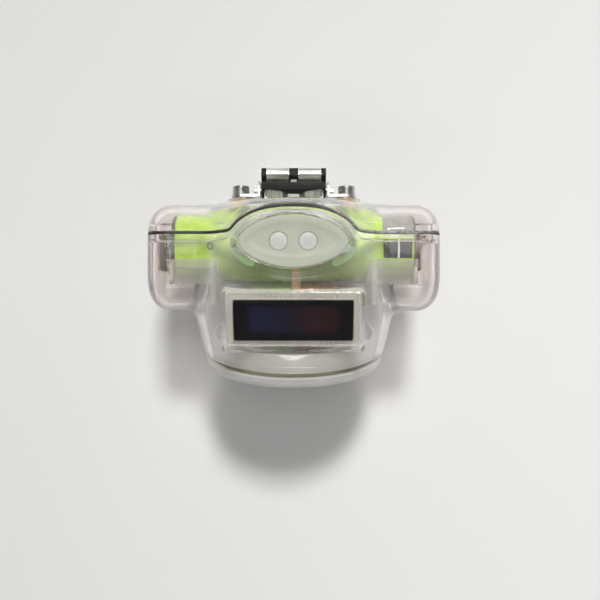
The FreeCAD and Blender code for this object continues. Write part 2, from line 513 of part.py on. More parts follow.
# ---- rear: screws, inserts, clip -------------------------------------------------------------
def rear(out):
    ins, cs, hs = [], [], []
    for s in (-1, 1):
        c = V(s * CLIP_X, 0, CLIP_Z)
        t = tube(2.57, 1.5, c + Y * 9.0, Y, 3.75)
        for k in range(2):
            t = t.cut(tube(3.2, 2.35, c + Y * (10.0 + 1.5 * k), Y, 0.5))
        ins.append(t)
        h = cyl(2.25, c + Y * 13.75, Y, 2.35)
        h = h.makeFillet(0.35, [e for e in h.Edges if abs(e.CenterOfMass.y - 16.1) < 0.01 and e.BoundBox.YLength < 0.01])
        hexa = []
        for k in range(6):
            a = math.radians(60 * k)
            hexa.append(c + V(1.25 * math.cos(a), 14.9, 1.25 * math.sin(a)))
        hx = Part.Face(Part.makePolygon(hexa + [hexa[0]])).extrude(V(0, 3, 0))
        h = h.cut(hx).fuse(cyl(1.47, c + Y * 9.3, Y, 4.6))
        cs.append(tidy(h))
    out["brass_inserts"] = Part.makeCompound(ins)
    out["clip_screws"] = Part.makeCompound(cs)
    for x, z in POSTS:
        for s in (-1, 1):
            c = V(s * x, 0, z)
            h = cyl(2.2, c + Y * 9.1, Y, 1.7).cut(fuse(box(s * x - 1.5, s * x + 1.5, 10.1, 12, z - 0.3, z + 0.3), box(s * x - 0.3, s * x + 0.3, 10.1, 12, z - 1.5, z + 1.5)))
            hs.append(tidy(h.fuse(cyl(1.22, c + Y * -5.0, Y, 14.2))))
    out["housing_screws"] = Part.makeCompound(hs)

    # yoke: web with two feet, and two ears bent to the rear
    web = box(-14.0, 14.0, 12.95, 13.75, CLIP_Z - 2.6, CLIP_Z + 2.6)
    for s in (-1, 1):
        web = web.fuse(cyl(2.6, V(s * CLIP_X, 12.95, CLIP_Z), Y, 0.8))
        web = web.fuse(box(min(s * 14.2, s * 13), max(s * 14.2, s * 13), 12.95, 13.75, CLIP_Z - 2.6, CLIP_Z + 2.6))
    web = web.fuse(box(-9.5, 9.5, 12.95, 13.75, -1.2, 9.6)).cut(box(-8.9, 8.9, 12, 15, 0.6, 20))
    for s in (-1, 1):
        web = web.cut(cyl(1.6, V(s * CLIP_X, 12, CLIP_Z), Y, 3))
        ear = slab_yz([(12.95, 1.0), (15.4, 1.0), (17.2, 3.6), (17.2, 8.0), (15.9, 9.6), (12.95, 9.6)], s * 9.5, s * 8.9)
        ear = ear.cut(cyl(PIN_R, V(-12, PIN_Y, PIN_Z), X, 24))
        web = web.fuse(ear)
    out["yoke_bracket"] = tidy(web)
    pin = cyl(PIN_R, V(-10.9, PIN_Y, PIN_Z), X, 21.8)
    pin = pin.makeFillet(0.2, [e for e in pin.Edges if e.BoundBox.XLength < 0.01])
    out["main_pin"] = pin
    # bushes on the pin: a barrel with a flange ring at its inner end, and a seat for the spring's coils
    bush = tube(2.3, PIN_R + 0.02, V(3.9, PIN_Y, PIN_Z), X, 1.85).fuse([
        tube(1.6, PIN_R + 0.02, V(3.0, PIN_Y, PIN_Z), X, 4.7), tube(2.4, PIN_R + 0.02, V(3.0, PIN_Y, PIN_Z), X, 0.65)])
    out["pivot_bushes"] = both(tidy(bush))

    # torsion spring: two turns round each bush, one leg under the link plate's front edge,
    # one leg down behind the lower bar of the yoke
    e_y, e_z = -0.75, -6.0
    a_end = math.atan2(e_z, e_y) - math.acos(COIL_R / math.hypot(e_y, e_z)) + 2 * math.pi
    a_sum = a_end + 4 * math.pi - math.pi
    pts = [V(7.4, PIN_Y - COIL_R, PIN_Z + 1.9), V(7.4, PIN_Y - COIL_R, PIN_Z + 1.0)]
    steps = 48
    for k in range(steps + 1):
        a = math.pi + a_sum * k / steps
        pts.append(V(7.4 - 0.63 * k / steps * a_sum / (2 * math.pi), PIN_Y + COIL_R * math.cos(a), PIN_Z + COIL_R * math.sin(a)))
    x_end = pts[-1].x
    p_e = pts[-1]
    for f in (0.25, 0.6, 1.0):
        pts.append(V(x_end, p_e.y + (PIN_Y + e_y - p_e.y) * f, p_e.z + (PIN_Z + e_z - p_e.z) * f))
    wire = Part.BSplineCurve()
    wire.interpolate(Points=pts)
    path = Part.Wire([wire.toShape()])
    t0 = pts[1] - pts[0]
    c1 = path.makePipeShell([Part.Wire([Part.makeCircle(WIRE_R, pts[0], t0)])], True, False)
    out["torsion_spring"] = both(c1)

    # link plate: curved top plate, two cheeks on the main pin, three lugs on the knuckle pin
    ang0, ang1 = 124.0, 62.0
    ro, ri = 3.95, 3.25
    arc_o = [(PIN_Y + ro * math.cos(math.radians(a)), PIN_Z + ro * math.sin(math.radians(a))) for a in (ang0, 108, 93, 78, ang1)]
    arc_i = [(PIN_Y + ri * math.cos(math.radians(a)), PIN_Z + ri * math.sin(math.radians(a))) for a in (ang1, 78, 93, 108, ang0)]
    tail = [(KNU_Y - 0.5, KNU_Z + 1.7), (KNU_Y + 1.0, KNU_Z + 1.45), (KNU_Y + 1.7, KNU_Z + 0.6), (KNU_Y + 1.75, KNU_Z - 0.6), (KNU_Y + 1.0, KNU_Z - 1.5), (KNU_Y - 0.4, KNU_Z - 1.8)]
    side = [(PIN_Y - 1.6, PIN_Z - 1.7), (PIN_Y - 2.25, PIN_Z - 0.3)] + arc_o + tail + [(PIN_Y + 1.7, PIN_Z - 1.6), (PIN_Y, PIN_Z - 2.3)]
    cheek = slab_yz(side, 8.0, 8.55)
    lug_out = [arc_i[0], arc_o[4]] + tail + [(KNU_Y - 2.7, KNU_Z + 0.2)]
    lug = slab_yz(lug_out, 7.3, 8.0)
    mid = slab_yz(lug_out, -1.2, 1.2)
    top = slab_yz(arc_o + arc_i, -8.0, 8.0)
    m = lambda q: q.mirror(V(0, 0, 0), X)
    link = top
    for q in (mid, lug, m(lug), cheek, m(cheek)):
        link = step("link", link, [q], 1)
    link = link.cut(cyl(PIN_R + 0.06, V(-12, PIN_Y, PIN_Z), X, 24)).cut(cyl(KPIN_R, V(-12, KNU_Y, KNU_Z), X, 24))
    # the plate's front edge is cut back in two wedges beside a middle tongue
    for s in (-1, 1):
        wedge = Part.Face(Part.makePolygon([V(s * 1.6, 12.0, 5), V(s * 1.6, 13.3, 5), V(s * 3.4, 14.4, 5), V(s * 7.9, 15.0, 5), V(s * 7.9, 12.0, 5), V(s * 1.6, 12.0, 5)])).extrude(V(0, 0, 8))
        link = link.cut(wedge)
    # room for the knuckles
    for s in (-1, 1):
        link = link.cut(cyl(KNU_R + 0.25, V(min(s * 1.2, s * 7.3), KNU_Y, KNU_Z), X, 6.1))
    out["link_plate"] = tidy(link)
    out["knuckle_pin"] = cyl(KPIN_R, V(-8.5, KNU_Y, KNU_Z), X, 17.0)

    # hook blade: two rolled knuckles and a sprung blade that hangs behind the rear cover
    yo = KNU_Y + KNU_R - BLADE_T / 2
    prof = [(yo, KNU_Z), (yo, 2.0), (yo - 0.15, -3.0), (yo - 0.9, -8.0), (yo - 2.3, -13.0), (yo - 4.0, -18.0), (yo - 5.1, -22.0), (yo - 5.3, -24.4), (yo - 4.6, -27.0), (yo - 3.3, -29.0), (yo - 2.4, -29.9)]
    sp1, sp2 = Part.BSplineCurve(), Part.BSplineCurve()
    o = strip_path(prof, BLADE_T)
    n = len(prof)
    sp1.interpolate(Points=[V(0, a, b) for a, b in o[:n]])
    sp2.interpolate(Points=[V(0, a, b) for a, b in o[n:]])
    w = Part.Wire(Part.__sortEdges__([sp1.toShape(), Part.LineSegment(V(0, *o[n - 1]), V(0, *o[n])).toShape(), sp2.toShape(), Part.LineSegment(V(0, *o[-1]), V(0, *o[0])).toShape()]))
    blade = Part.Face(w).extrude(V(16.0, 0, 0))
    blade.translate(V(-8.0, 0, 0))
    # outline of the blade seen from behind: shoulders below the knuckles, tapered and rounded tip
    outline = [V(-7.1, 0, 12), V(-7.1, 0, 3.4), V(-8.0, 0, 2.0), V(-8.0, 0, -12), V(-6.4, 0, -27.5), V(-4.4, 0, -31), V(4.4, 0, -31), V(6.4, 0, -27.5), V(8.0, 0, -12), V(8.0, 0, 2.0), V(7.1, 0, 3.4), V(7.1, 0, 12)]
    of = Part.Face(Part.makePolygon(outline + [outline[0]])).extrude(V(0, 40, 0))
    blade = blade.common(of)
    blade = blade.cut(box(-1.4, 1.4, 10, 30, KNU_Z - 2.6, 20))
    hook = blade
    for s in (-1, 1):
        hook = hook.fuse(cyl(KNU_R, V(min(s * 1.4, s * 7.1), KNU_Y, KNU_Z), X, 5.7))
    hook = hook.cut(cyl(KPIN_R + 0.05, V(-12, KNU_Y, KNU_Z), X, 24))
    # a window in the blade that the helmet's bracket nose drops into
    slot = box(-3.0, 3.0, 10, 30, -12.0, -6.0)
    slot = slot.makeFillet(1.2, [e for e in slot.Edges if abs(e.tangentAt(e.FirstParameter).y) > 0.9])
    hook = hook.cut(slot)
    out["hook_blade"] = tidy(hook)


def main():
    os.makedirs("parts", exist_ok=True)
    out = {}
    outer, front, back, gasket = housings()
    out["front_housing"] = front
    out["rear_cover"] = back
    out["housing_gasket"] = gasket
    lens_end(out)
    display(out)
    keys(out)
    battery(out)
    board(out)
    rear(out)
    box_all = None
    for name, s in out.items():
        s = s.copy()
        s.translate(SHIFT)
        sol = s.Solids
        s = sol[0] if len(sol) == 1 else Part.makeCompound(sol)
        bb = s.BoundBox
        box_all = bb if box_all is None else box_all.united(bb)
        print("%-22s solids %d valid %s vol %9.2f  x %.2f %.2f y %.2f %.2f z %.2f %.2f" % (
            name, len(sol), s.isValid(), s.Volume, bb.XMin, bb.XMax, bb.YMin, bb.YMax, bb.ZMin, bb.ZMax))
        s.exportStep("parts/" + name + ".step")
    print("box x %.3f %.3f y %.3f %.3f z %.3f %.3f" % (box_all.XMin, box_all.XMax, box_all.YMin, box_all.YMax, box_all.ZMin, box_all.ZMax))


main()
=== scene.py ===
import bpy
import bmesh
import math
import numpy as np
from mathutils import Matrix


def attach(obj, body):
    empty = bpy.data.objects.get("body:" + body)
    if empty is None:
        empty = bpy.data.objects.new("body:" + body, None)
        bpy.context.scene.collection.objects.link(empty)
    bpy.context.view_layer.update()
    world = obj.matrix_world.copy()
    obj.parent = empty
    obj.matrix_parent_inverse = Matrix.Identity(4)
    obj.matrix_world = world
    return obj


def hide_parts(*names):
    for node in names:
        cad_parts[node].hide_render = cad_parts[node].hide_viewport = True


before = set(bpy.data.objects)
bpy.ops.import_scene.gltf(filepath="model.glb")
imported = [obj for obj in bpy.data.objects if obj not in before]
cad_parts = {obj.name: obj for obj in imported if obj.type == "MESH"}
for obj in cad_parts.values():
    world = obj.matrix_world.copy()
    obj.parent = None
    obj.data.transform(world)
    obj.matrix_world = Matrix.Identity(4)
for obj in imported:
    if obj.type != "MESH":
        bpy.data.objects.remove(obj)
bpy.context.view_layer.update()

# The shells are worked out in the cell's own frame, in millimetres: cell axis on X, lens
# towards -Y, clip towards +Y. OFF moves them into the row frame.
OFF = np.array([0.0, 8.183, 32.432])
WALL = 2.1
WING_HALF, WING_FRONT, WING_REAR, WING_TOP = 39.0, -17.6, 11.3, 13.5
WING_R, WING_RE = 10.0, 6.0
RING_C = np.array([0.0, -31.7, -8.0])
RING_TILT = math.radians(13.0)
DISP_C = np.array([0.0, -20.1, 22.0])
DISP_TILT = math.radians(14.0)
SEAM_Y, SEAM_T = 3.05, 0.8
PAD_A, PAD_B, PAD_N, PAD_TOP = 13.6, 6.6, 1.8, 23.5
CLIP_X, CLIP_Z = 14.2, 6.0
PIN = (15.0, 5.8)
KNU = (18.8, 8.4, 1.85)
POSTS = [(21.4, -14.6), (9.6, -25.6)]
BOARD_POSTS = [(14.6, -9.4), (14.6, 0.2)]
CELL_R, CELL_HALF = 9.2, 32.5


# ---- meshes ------------------------------------------------------------------------------
def add_mesh(name, verts, faces, smooth=True, design=True):
    """verts in millimetres (the cell's frame if design), faces as index lists."""
    v = np.asarray(verts, float)
    if design:
        v = v + OFF
    me = bpy.data.meshes.new(name)
    me.from_pydata((v / 1000.0).tolist(), [], [list(map(int, f)) for f in faces])
    me.validate()
    me.update()
    if smooth:
        me.polygons.foreach_set("use_smooth", np.ones(len(me.polygons), dtype=bool))
    ob = bpy.data.objects.new(name, me)
    bpy.context.scene.collection.objects.link(ob)
    return ob


def fast_mesh(name, v, quads):
    """A quad mesh from arrays."""
    v = (np.asarray(v, float) + OFF) / 1000.0
    q = np.asarray(quads, np.int32)
    me = bpy.data.meshes.new(name)
    me.vertices.add(len(v))
    me.vertices.foreach_set("co", v.astype(np.float32).ravel())
    me.loops.add(len(q) * 4)
    me.loops.foreach_set("vertex_index", q.ravel())
    me.polygons.add(len(q))
    me.polygons.foreach_set("loop_start", np.arange(0, len(q) * 4, 4, dtype=np.int32))
    me.update(calc_edges=True)
    me.validate()
    me.polygons.foreach_set("use_smooth", np.ones(len(me.polygons), dtype=bool))
    ob = bpy.data.objects.new(name, me)
    bpy.context.scene.collection.objects.link(ob)
    return ob


def smin(a, b, k):
    h = np.clip(0.5 + 0.5 * (b - a) / k, 0.0, 1.0)
    return b + (a - b) * h - k * h * (1.0 - h)


def smax(a, b, k):
    return -smin(-a, -b, k)


def net(f, lo, hi, h):
    """Dual surface of f = 0 on a grid, then moved onto the surface along its gradient."""
    n = [int(math.ceil((hi[a] - lo[a]) / h)) + 1 for a in range(3)]
    ax = [lo[a] + h * np.arange(n[a]) for a in range(3)]
    val = np.empty(n, np.float32)
    step = max(1, int(600000 / (n[1] * n[2])))
    for i in range(0, n[0], step):
        gx, gy, gz = np.meshgrid(ax[0][i:i + step], ax[1], ax[2], indexing="ij")
        val[i:i + step] = f(gx, gy, gz)
    inside = val < 0
    cnt = np.zeros([m - 1 for m in n], np.uint8)
    for a in (0, 1):
        for b in (0, 1):
            for c in (0, 1):
                cnt += inside[a:n[0] - 1 + a, b:n[1] - 1 + b, c:n[2] - 1 + c]
    act = (cnt > 0) & (cnt < 8)
    ids = np.full(act.shape, -1, np.int32)
    I = np.nonzero(act)
    ids[I] = np.arange(len(I[0]), dtype=np.int32)
    P = np.zeros((len(I[0]), 3))
    N = np.zeros(len(I[0]))
    for axis in range(3):
        o = [a for a in range(3) if a != axis]
        for b in (0, 1):
            for c in (0, 1):
                d = [0, 0, 0]
                d[o[0]], d[o[1]] = b, c
                e = list(d)
                e[axis] = 1
                v0 = val[I[0] + d[0], I[1] + d[1], I[2] + d[2]].astype(float)
                v1 = val[I[0] + e[0], I[1] + e[1], I[2] + e[2]].astype(float)
                x = (v0 < 0) != (v1 < 0)
                t = np.where(x, v0 / np.where(x, v0 - v1, 1.0), 0.0)
                pos = np.tile(np.array(d, float), (len(t), 1))
                pos[:, axis] = t
                P[x] += pos[x]
                N[x] += 1
    P /= N[:, None]
    P += np.stack(I, 1)
    P = P * h + np.array(lo)
    faces = []
    for axis in range(3):
        o = [a for a in range(3) if a != axis]
        s0 = [slice(1, n[a] - 1) for a in range(3)]
        s0[axis] = slice(0, n[axis] - 1)
        s1 = list(s0)
        s1[axis] = slice(1, n[axis])
        A = inside[tuple(s0)]
        B = inside[tuple(s1)]
        for flip, m in ((False, A & ~B), (True, ~A & B)):
            J = list(np.nonzero(m))
            J[o[0]] = J[o[0]] + 1
            J[o[1]] = J[o[1]] + 1
            quad = []
            for b, c in ((0, 0), (1, 0), (1, 1), (0, 1)):
                K = list(J)
                K[o[0]] = J[o[0]] - 1 + b
                K[o[1]] = J[o[1]] - 1 + c
                quad.append(ids[tuple(K)])
            q = np.stack(quad, 1)
            if axis == 1:
                flip = not flip
            faces.append(q[:, ::-1] if flip else q)
    Q = np.concatenate(faces)
    eps = 0.02
    for _ in range(4):
        v = f(P[:, 0], P[:, 1], P[:, 2])
        g = np.empty_like(P)
        for a in range(3):
            d = np.zeros(3)
            d[a] = eps
            g[:, a] = (f(P[:, 0] + d[0], P[:, 1] + d[1], P[:, 2] + d[2]) - f(P[:, 0] - d[0], P[:, 1] - d[1], P[:, 2] - d[2])) / (2 * eps)
        g2 = np.maximum((g * g).sum(1), 0.05)
        s = np.clip(v / g2, -0.35 * h, 0.35 * h)
        P = P - g * s[:, None]
    return P, Q


# ---- form of the housing ------------------------------------------------------------------
SEC = np.array([
    (-27.6, -7.06, 13.0, 25.7, 25.7, 25.85, 2.0, 2.0),
    (-21.5, -6.4, 10.5, 26.9, 27.0, 26.35, 2.25, 2.3),
    (-15.0, -5.6, 7.0, 27.8, 27.4, 27.0, 2.6, 2.8),
    (-8.5, -5.0, 3.5, 28.0, 27.8, 27.45, 2.5, 3.2),
    (-1.0, -5.0, 0.0, 27.6, 27.2, 27.4, 2.3, 3.4),
    (6.0, -5.0, 0.0, 27.0, 26.2, 27.4, 2.2, 3.4),
    (11.5, -5.0, 0.0, 26.4, 24.3, 26.9, 2.2, 3.4),
])


def make_tables():
    s = np.linspace(-33.0, 16.0, 981)
    y = SEC[:, 0]
    out = []
    for c in range(1, 8):
        v = SEC[:, c]
        m = np.gradient(v, y)
        m[0] = (v[1] - v[0]) / (y[1] - y[0])
        m[-1] = (v[-1] - v[-2]) / (y[-1] - y[-2])
        k = np.clip(np.searchsorted(y, s) - 1, 0, len(y) - 2)
        t = (s - y[k]) / (y[k + 1] - y[k])
        d = y[k + 1] - y[k]
        r = (2 * t**3 - 3 * t**2 + 1) * v[k] + (t**3 - 2 * t**2 + t) * m[k] * d + (-2 * t**3 + 3 * t**2) * v[k + 1] + (t**3 - t**2) * m[k + 1] * d
        r = np.where(s < y[0], v[0] + (s - y[0]) * m[0] * (c not in (2, 6, 7)), r)
        r = np.where(s > y[-1], v[-1] + (s - y[-1]) * m[-1] * (c not in (2, 6, 7)), r)
        out.append(r)
    return s, out


TAB_S, TAB = make_tables()


def sec(c, s):
    return np.interp(s, TAB_S, TAB[c - 1])


def barrel(x, y, z, i):
    s = np.array(y, float)
    for _ in range(4):
        s = y + (z - sec(1, s)) * np.tan(np.radians(sec(2, s)))
    t = np.radians(sec(2, s))
    v = (z - sec(1, s)) / np.cos(t)
    a = sec(3, s) - i
    up = v >= 0
    hh = np.where(up, sec(4, s), sec(5, s)) - i
    n = np.where(up, sec(6, s), sec(7, s))
    ux, uv = np.abs(x) / a, np.abs(v) / hh
    ux, uv = np.maximum(ux, 1e-4), np.maximum(uv, 1e-4)
    p = ux**n + uv**n
    f = p ** (1.0 / n)
    g = np.sqrt((ux ** (n - 1) / a) ** 2 + (uv ** (n - 1) / hh) ** 2) * p ** (1.0 / n - 1.0)
    return (f - 1.0) / np.maximum(g, 1e-3), s


def wing(x, y, z, i):
    cy, hy = (WING_FRONT + WING_REAR) / 2, (WING_REAR - WING_FRONT) / 2 - i
    hz, r, re = WING_TOP - i, WING_R - i, WING_RE - i
    qy, qz = np.abs(y - cy) - (hy - r), np.abs(z) - (hz - r)
    d2 = np.hypot(np.maximum(qy, 0), np.maximum(qz, 0)) + np.minimum(np.maximum(qy, qz), 0) - r
    wx = np.abs(x) - (WING_HALF - i - re)
    wd = d2 + re
    return np.hypot(np.maximum(wx, 0), np.maximum(wd, 0)) + np.minimum(np.maximum(wx, wd), 0) - re


MOUND = np.array([(2.0, 21.9, 11.5), (6.0, 21.6, 11.4), (12.5, 20.6, 11.0), (17.0, 18.4, 10.1), (20.8, 16.2, 8.9), (23.6, 14.5, 7.4), (26.0, 13.0, 6.2)])


def mound(x, y, z, i):
    zz = z + i * 0.55 * np.clip((z - 12.0) / 10.0, 0, 1)
    a = np.interp(zz, MOUND[:, 0], MOUND[:, 1]) - i
    b = np.interp(zz, MOUND[:, 0], MOUND[:, 2]) - i
    ux, uy = x / a, y / b
    f = np.sqrt(ux * ux + uy * uy) + 1e-6
    g = np.sqrt((ux / a) ** 2 + (uy / b) ** 2) / f
    d = (f - 1.0) / np.maximum(g, 1e-3)
    top = z - (PAD_TOP + 0.1 - i)
    return np.maximum(smax(d, top, 1.1 if i == 0 else 0.6), 5.0 - z)


def seam_curve():
    r, phi = 2.0, math.radians(49.0)
    xc = -17.1
    pts = [(-60.0, SEAM_Y), (xc, SEAM_Y)]
    for k in range(1, 13):
        a = phi * k / 12
        pts.append((xc + r * math.sin(a), SEAM_Y + r * (1 - math.cos(a))))
    ctrl = [pts[-1], (-14.2, 5.3), (-12.6, 6.45), (-10.6, 7.5), (-7.4, 8.5), (-3.8, 9.0), (0.0, 9.15)]
    full = ctrl + [(-x, y) for x, y in ctrl[-2::-1]]
    full = np.array(full)
    t = np.concatenate([[0], np.cumsum(np.hypot(*np.diff(full, axis=0).T))])
    mx = np.gradient(full[:, 0], t)
    my = np.gradient(full[:, 1], t)
    mx[0], my[0] = math.cos(phi), math.sin(phi)
    mx[-1], my[-1] = math.cos(phi), -math.sin(phi)
    for u in np.linspace(0, t[-1], 121)[1:-1]:
        k = min(len(t) - 2, int(np.searchsorted(t, u) - 1))
        d = t[k + 1] - t[k]
        w = (u - t[k]) / d
        h = (2 * w**3 - 3 * w**2 + 1, w**3 - 2 * w**2 + w, -2 * w**3 + 3 * w**2, w**3 - w**2)
        pts.append((h[0] * full[k, 0] + h[1] * mx[k] * d + h[2] * full[k + 1, 0] + h[3] * mx[k + 1] * d,
                    h[0] * full[k, 1] + h[1] * my[k] * d + h[2] * full[k + 1, 1] + h[3] * my[k + 1] * d))
    left = pts[:14]
    pts += [(-x, y) for x, y in left[::-1]]
    return np.array(pts)


SEAM = seam_curve()
SG_X, SG_Y = np.arange(-42.0, 42.01, 0.25), np.arange(-32.0, 16.01, 0.25)


def seam_grid():
    gx, gy = np.meshgrid(SG_X, SG_Y, indexing="ij")
    best = np.full(gx.shape, 1e9)
    for k in range(len(SEAM) - 1):
        a, b = SEAM[k], SEAM[k + 1]
        d = b - a
        L = (d * d).sum()
        if L < 1e-12:
            continue
        t = np.clip(((gx - a[0]) * d[0] + (gy - a[1]) * d[1]) / L, 0, 1)
        best = np.minimum(best, np.hypot(gx - a[0] - t * d[0], gy - a[1] - t * d[1]))
    yy = np.interp(SG_X, SEAM[:, 0], SEAM[:, 1])
    return best * np.sign(gy - yy[:, None])


SG = seam_grid()


def seam(x, y):
    """Signed distance in plan, positive behind the seam."""
    u = np.clip((x - SG_X[0]) / 0.25, 0, len(SG_X) - 1.001)
    v = np.clip((y - SG_Y[0]) / 0.25, 0, len(SG_Y) - 1.001)
    i, j = u.astype(int), v.astype(int)
    fu, fv = u - i, v - j
    return (SG[i, j] * (1 - fu) * (1 - fv) + SG[i + 1, j] * fu * (1 - fv) + SG[i, j + 1] * (1 - fu) * fv + SG[i + 1, j + 1] * fu * fv)


def local(x, y, z, c, ang):
    """Coordinates (x, along, out) in a frame turned by ang about X."""
    dy, dz = y - c[1], z - c[2]
    return x - c[0], dy * math.cos(ang) + dz * math.sin(ang), -dy * math.sin(ang) + dz * math.cos(ang)


def rbox(x, y, z, hx, hy, z0, z1, r, k):
    """Box with corner radius r in plan and edges rounded by k."""
    qx, qy = np.abs(x) - (hx - r), np.abs(y) - (hy - r)
    d = np.hypot(np.maximum(qx, 0), np.maximum(qy, 0)) + np.minimum(np.maximum(qx, qy), 0) - r
    return smax(smax(d, z - z1, k), z0 - z, k)


def oval(x, y, a, b, n):
    ux, uy = np.maximum(np.abs(x) / a, 1e-4), np.maximum(np.abs(y) / b, 1e-4)
    p = ux**n + uy**n
    f = p ** (1 / n)
    g = np.sqrt((ux ** (n - 1) / a) ** 2 + (uy ** (n - 1) / b) ** 2) * p ** (1 / n - 1)
    return (f - 1) / np.maximum(g, 1e-3)


def cyl_y(x, y, z, cx, cz, r, y0, y1, k=0.0):
    d = np.hypot(np.abs(x) - cx, z - cz) - r
    e = np.maximum(y0 - y, y - y1)
    return smax(d, e, k) if k else np.maximum(d, e)


def cyl_z(x, y, z, cx, cy, r, z0, z1):
    return np.maximum(np.hypot(np.abs(x) - cx, y - cy) - r, np.maximum(z0 - z, z - z1))


def shell(x, y, z, lip):
    b, s = barrel(x, y, z, 0.0)
    b = smax(b, y - 11.5, 3.0 + 3.0 * np.clip((np.abs(x) - 9.0) / 9.0, 0.0, 1.0))
    w = wing(x, y, z, 0.0)
    m = mound(x, y, z, 0.0)
    outer = smin(smin(b, w, 2.6), m, 3.2)
    # flat behind the dome, so that the clip's link has room to swing
    outer = smax(outer, y - 11.5, 0.3)
    lx, ly, lz = local(x, y, z, DISP_C, DISP_TILT)
    outer = smin(outer, rbox(lx, ly, lz, 18.0, 7.9, -7.0, 0.0, 1.4, 0.45), 0.5)
    cone = np.hypot(np.abs(x) - CLIP_X, z - CLIP_Z) - (4.6 - (y - 8.0) * 1.1 / 4.7)
    cone = smax(smax(cone, y - 12.7, 0.5), 8.0 - y, 0.3)
    outer = smin(outer, cone, 0.9)
    outer = smax(outer, -27.6 - s, 0.8)
    wall = WALL + lip
    bi, si = barrel(x, y, z, WALL)
    if np.ndim(lip):
        bi, wi = bi + lip, wing(x, y, z, WALL) + lip
    else:
        wi = wing(x, y, z, WALL)
    bi = smax(bi, y - (11.5 - WALL), 1.0)
    mi = mound(x, y, z, WALL + 0.4)
    inner = smin(smin(bi, wi, 1.2), mi, 1.6)
    inner = np.minimum(inner, rbox(lx, ly, lz, 16.9, 6.85, -9.0, -2.3, 0.8, 0.55))
    return outer, inner, s


def lip_at(sd):
    """Extra inside thickness beside the seam."""
    d = np.abs(sd)
    return 0.75 * np.clip((2.3 - d) / 0.35, 0, 1)


def front_f(x, y, z):
    sd = seam(x, y)
    outer, inner, s = shell(x, y, z, lip_at(sd))
    f = smax(outer, -inner, 0.35)
    f = smax(f, sd + SEAM_T / 2, 0.35)
    y1 = SEAM_Y - SEAM_T / 2
    for k, (px, pz) in enumerate(POSTS):
        c = cyl_y(x, y, z, px, pz, 2.7, -8.0, y1, 0.3)
        if k == 0:
            rib = np.maximum(np.maximum(px - np.abs(x), np.abs(x) - 26.2), np.maximum(np.abs(z - pz) - 0.9, np.maximum(-7.9 - y, y - y1)))
        else:
            rib = np.maximum(np.maximum(-30.9 - z, z - pz), np.maximum(np.abs(np.abs(x) - px) - 0.9, np.maximum(-7.9 - y, y - y1)))
        f = smin(f, smin(c, rib, 0.5), 0.5)
    for px, py in BOARD_POSTS:
        f = smin(f, cyl_z(x, y, z, px, py, 2.0, -30.2, -18.2), 0.5)
    f = smin(f, cyl_z(x, y, z, 13.4, 0.0, 1.1, 16.8, 20.7), 0.3)
    for px, pz in POSTS:
        f = smax(f, -cyl_y(x, y, z, px, pz, 1.32, -6.0, 20.0), 0.15)
    for px, py in BOARD_POSTS:
        f = smax(f, -cyl_z(x, y, z, px, py, 0.86, -22.4, -10.0), 0.15)
    hole = np.minimum(np.maximum(oval(x, y, 12.2, 5.3, PAD_N), 18.0 - z), np.maximum(oval(x, y, PAD_A + 0.1, PAD_B + 0.1, PAD_N), 22.1 - z))
    hole = np.maximum(hole, -hole * 0 + (16.0 - z))
    f = smax(f, -hole, 0.4)
    f = np.maximum(f, -cyl_z(x, y, z, 13.4, 0.0, 0.62, 16.0, 19.5))
    return f


def rear_f(x, y, z):
    sd = seam(x, y)
    outer, inner, s = shell(x, y, z, lip_at(sd))
    f = smax(outer, -inner, 0.35)
    f = smax(f, SEAM_T / 2 - sd, 0.35)
    for px, pz in POSTS:
        f = smin(f, cyl_y(x, y, z, px, pz, 2.7, SEAM_Y + SEAM_T / 2, 9.9, 0.3), 0.5)
    for px, pz in POSTS:
        f = smax(f, -cyl_y(x, y, z, px, pz, 1.5, -6.0, 20.0), 0.15)
        f = smax(f, -cyl_y(x, y, z, px, pz, 2.5, 9.1, 20.0), 0.25)
    f = smax(f, -cyl_y(x, y, z, CLIP_X, CLIP_Z, 2.62, 8.9, 20.0), 0.25)
    return f


def gasket_f(x, y, z):
    sd = seam(x, y)
    outer, inner, s = shell(x, y, z, 0.0)
    f = smax(outer + 0.04, -(outer + 1.05), 0.3)
    return smax(f, np.abs(sd) - (SEAM_T / 2 - 0.06), 0.2)


H = 0.37
P, Q = net(front_f, (-39.8, -34.6, -33.4), (39.8, 10.4, 24.8), H)
front_shell = fast_mesh("front_housing_shell", P, Q)
P, Q = net(rear_f, (-39.8, 2.2, -33.2), (39.8, 13.6, 22.2), H)
rear_shell = fast_mesh("rear_cover_shell", P, Q)
P, Q = net(gasket_f, (-39.8, 2.0, -33.0), (39.8, 10.2, 22.4), 0.26)
gasket = fast_mesh("housing_gasket_line", P, Q)
for ob, node in ((front_shell, "front_housing"), (rear_shell, "rear_cover"), (gasket, "housing_gasket")):
    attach(ob, "housing")
    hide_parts(node)


# ---- key pad: a moulded oval with a dish, and two soft-edged keys -----------------------------
KEY_X, KEY_R = 3.65, 2.27


def pad_f(x, y, z):
    d = oval(x, y, PAD_A, PAD_B, PAD_N)
    e = oval(x, y, 11.6, 4.75, PAD_N)
    t = np.clip(-e / 2.0, 0.0, 1.0)
    top = PAD_TOP - 0.06 - 0.17 * t * t * (3 - 2 * t)
    r = np.hypot(np.abs(x) - KEY_X, y)
    top = top - 0.16 * np.clip((r - 4.4) / -1.9, 0.0, 1.0) ** 2 * 0.6
    f = smax(smax(d, z - top, 0.45), 22.15 - z, 0.1)
    plug = np.maximum(oval(x, y, 12.1, 5.2, PAD_N), np.maximum(20.6 - z, z - 22.6))
    f = smin(f, plug, 0.15)
    f = np.maximum(f, -np.maximum(oval(x, y, 8.4, 4.2, 2.0), z - 21.4))
    return smax(f, -(r - (KEY_R + 0.05)), 0.12)


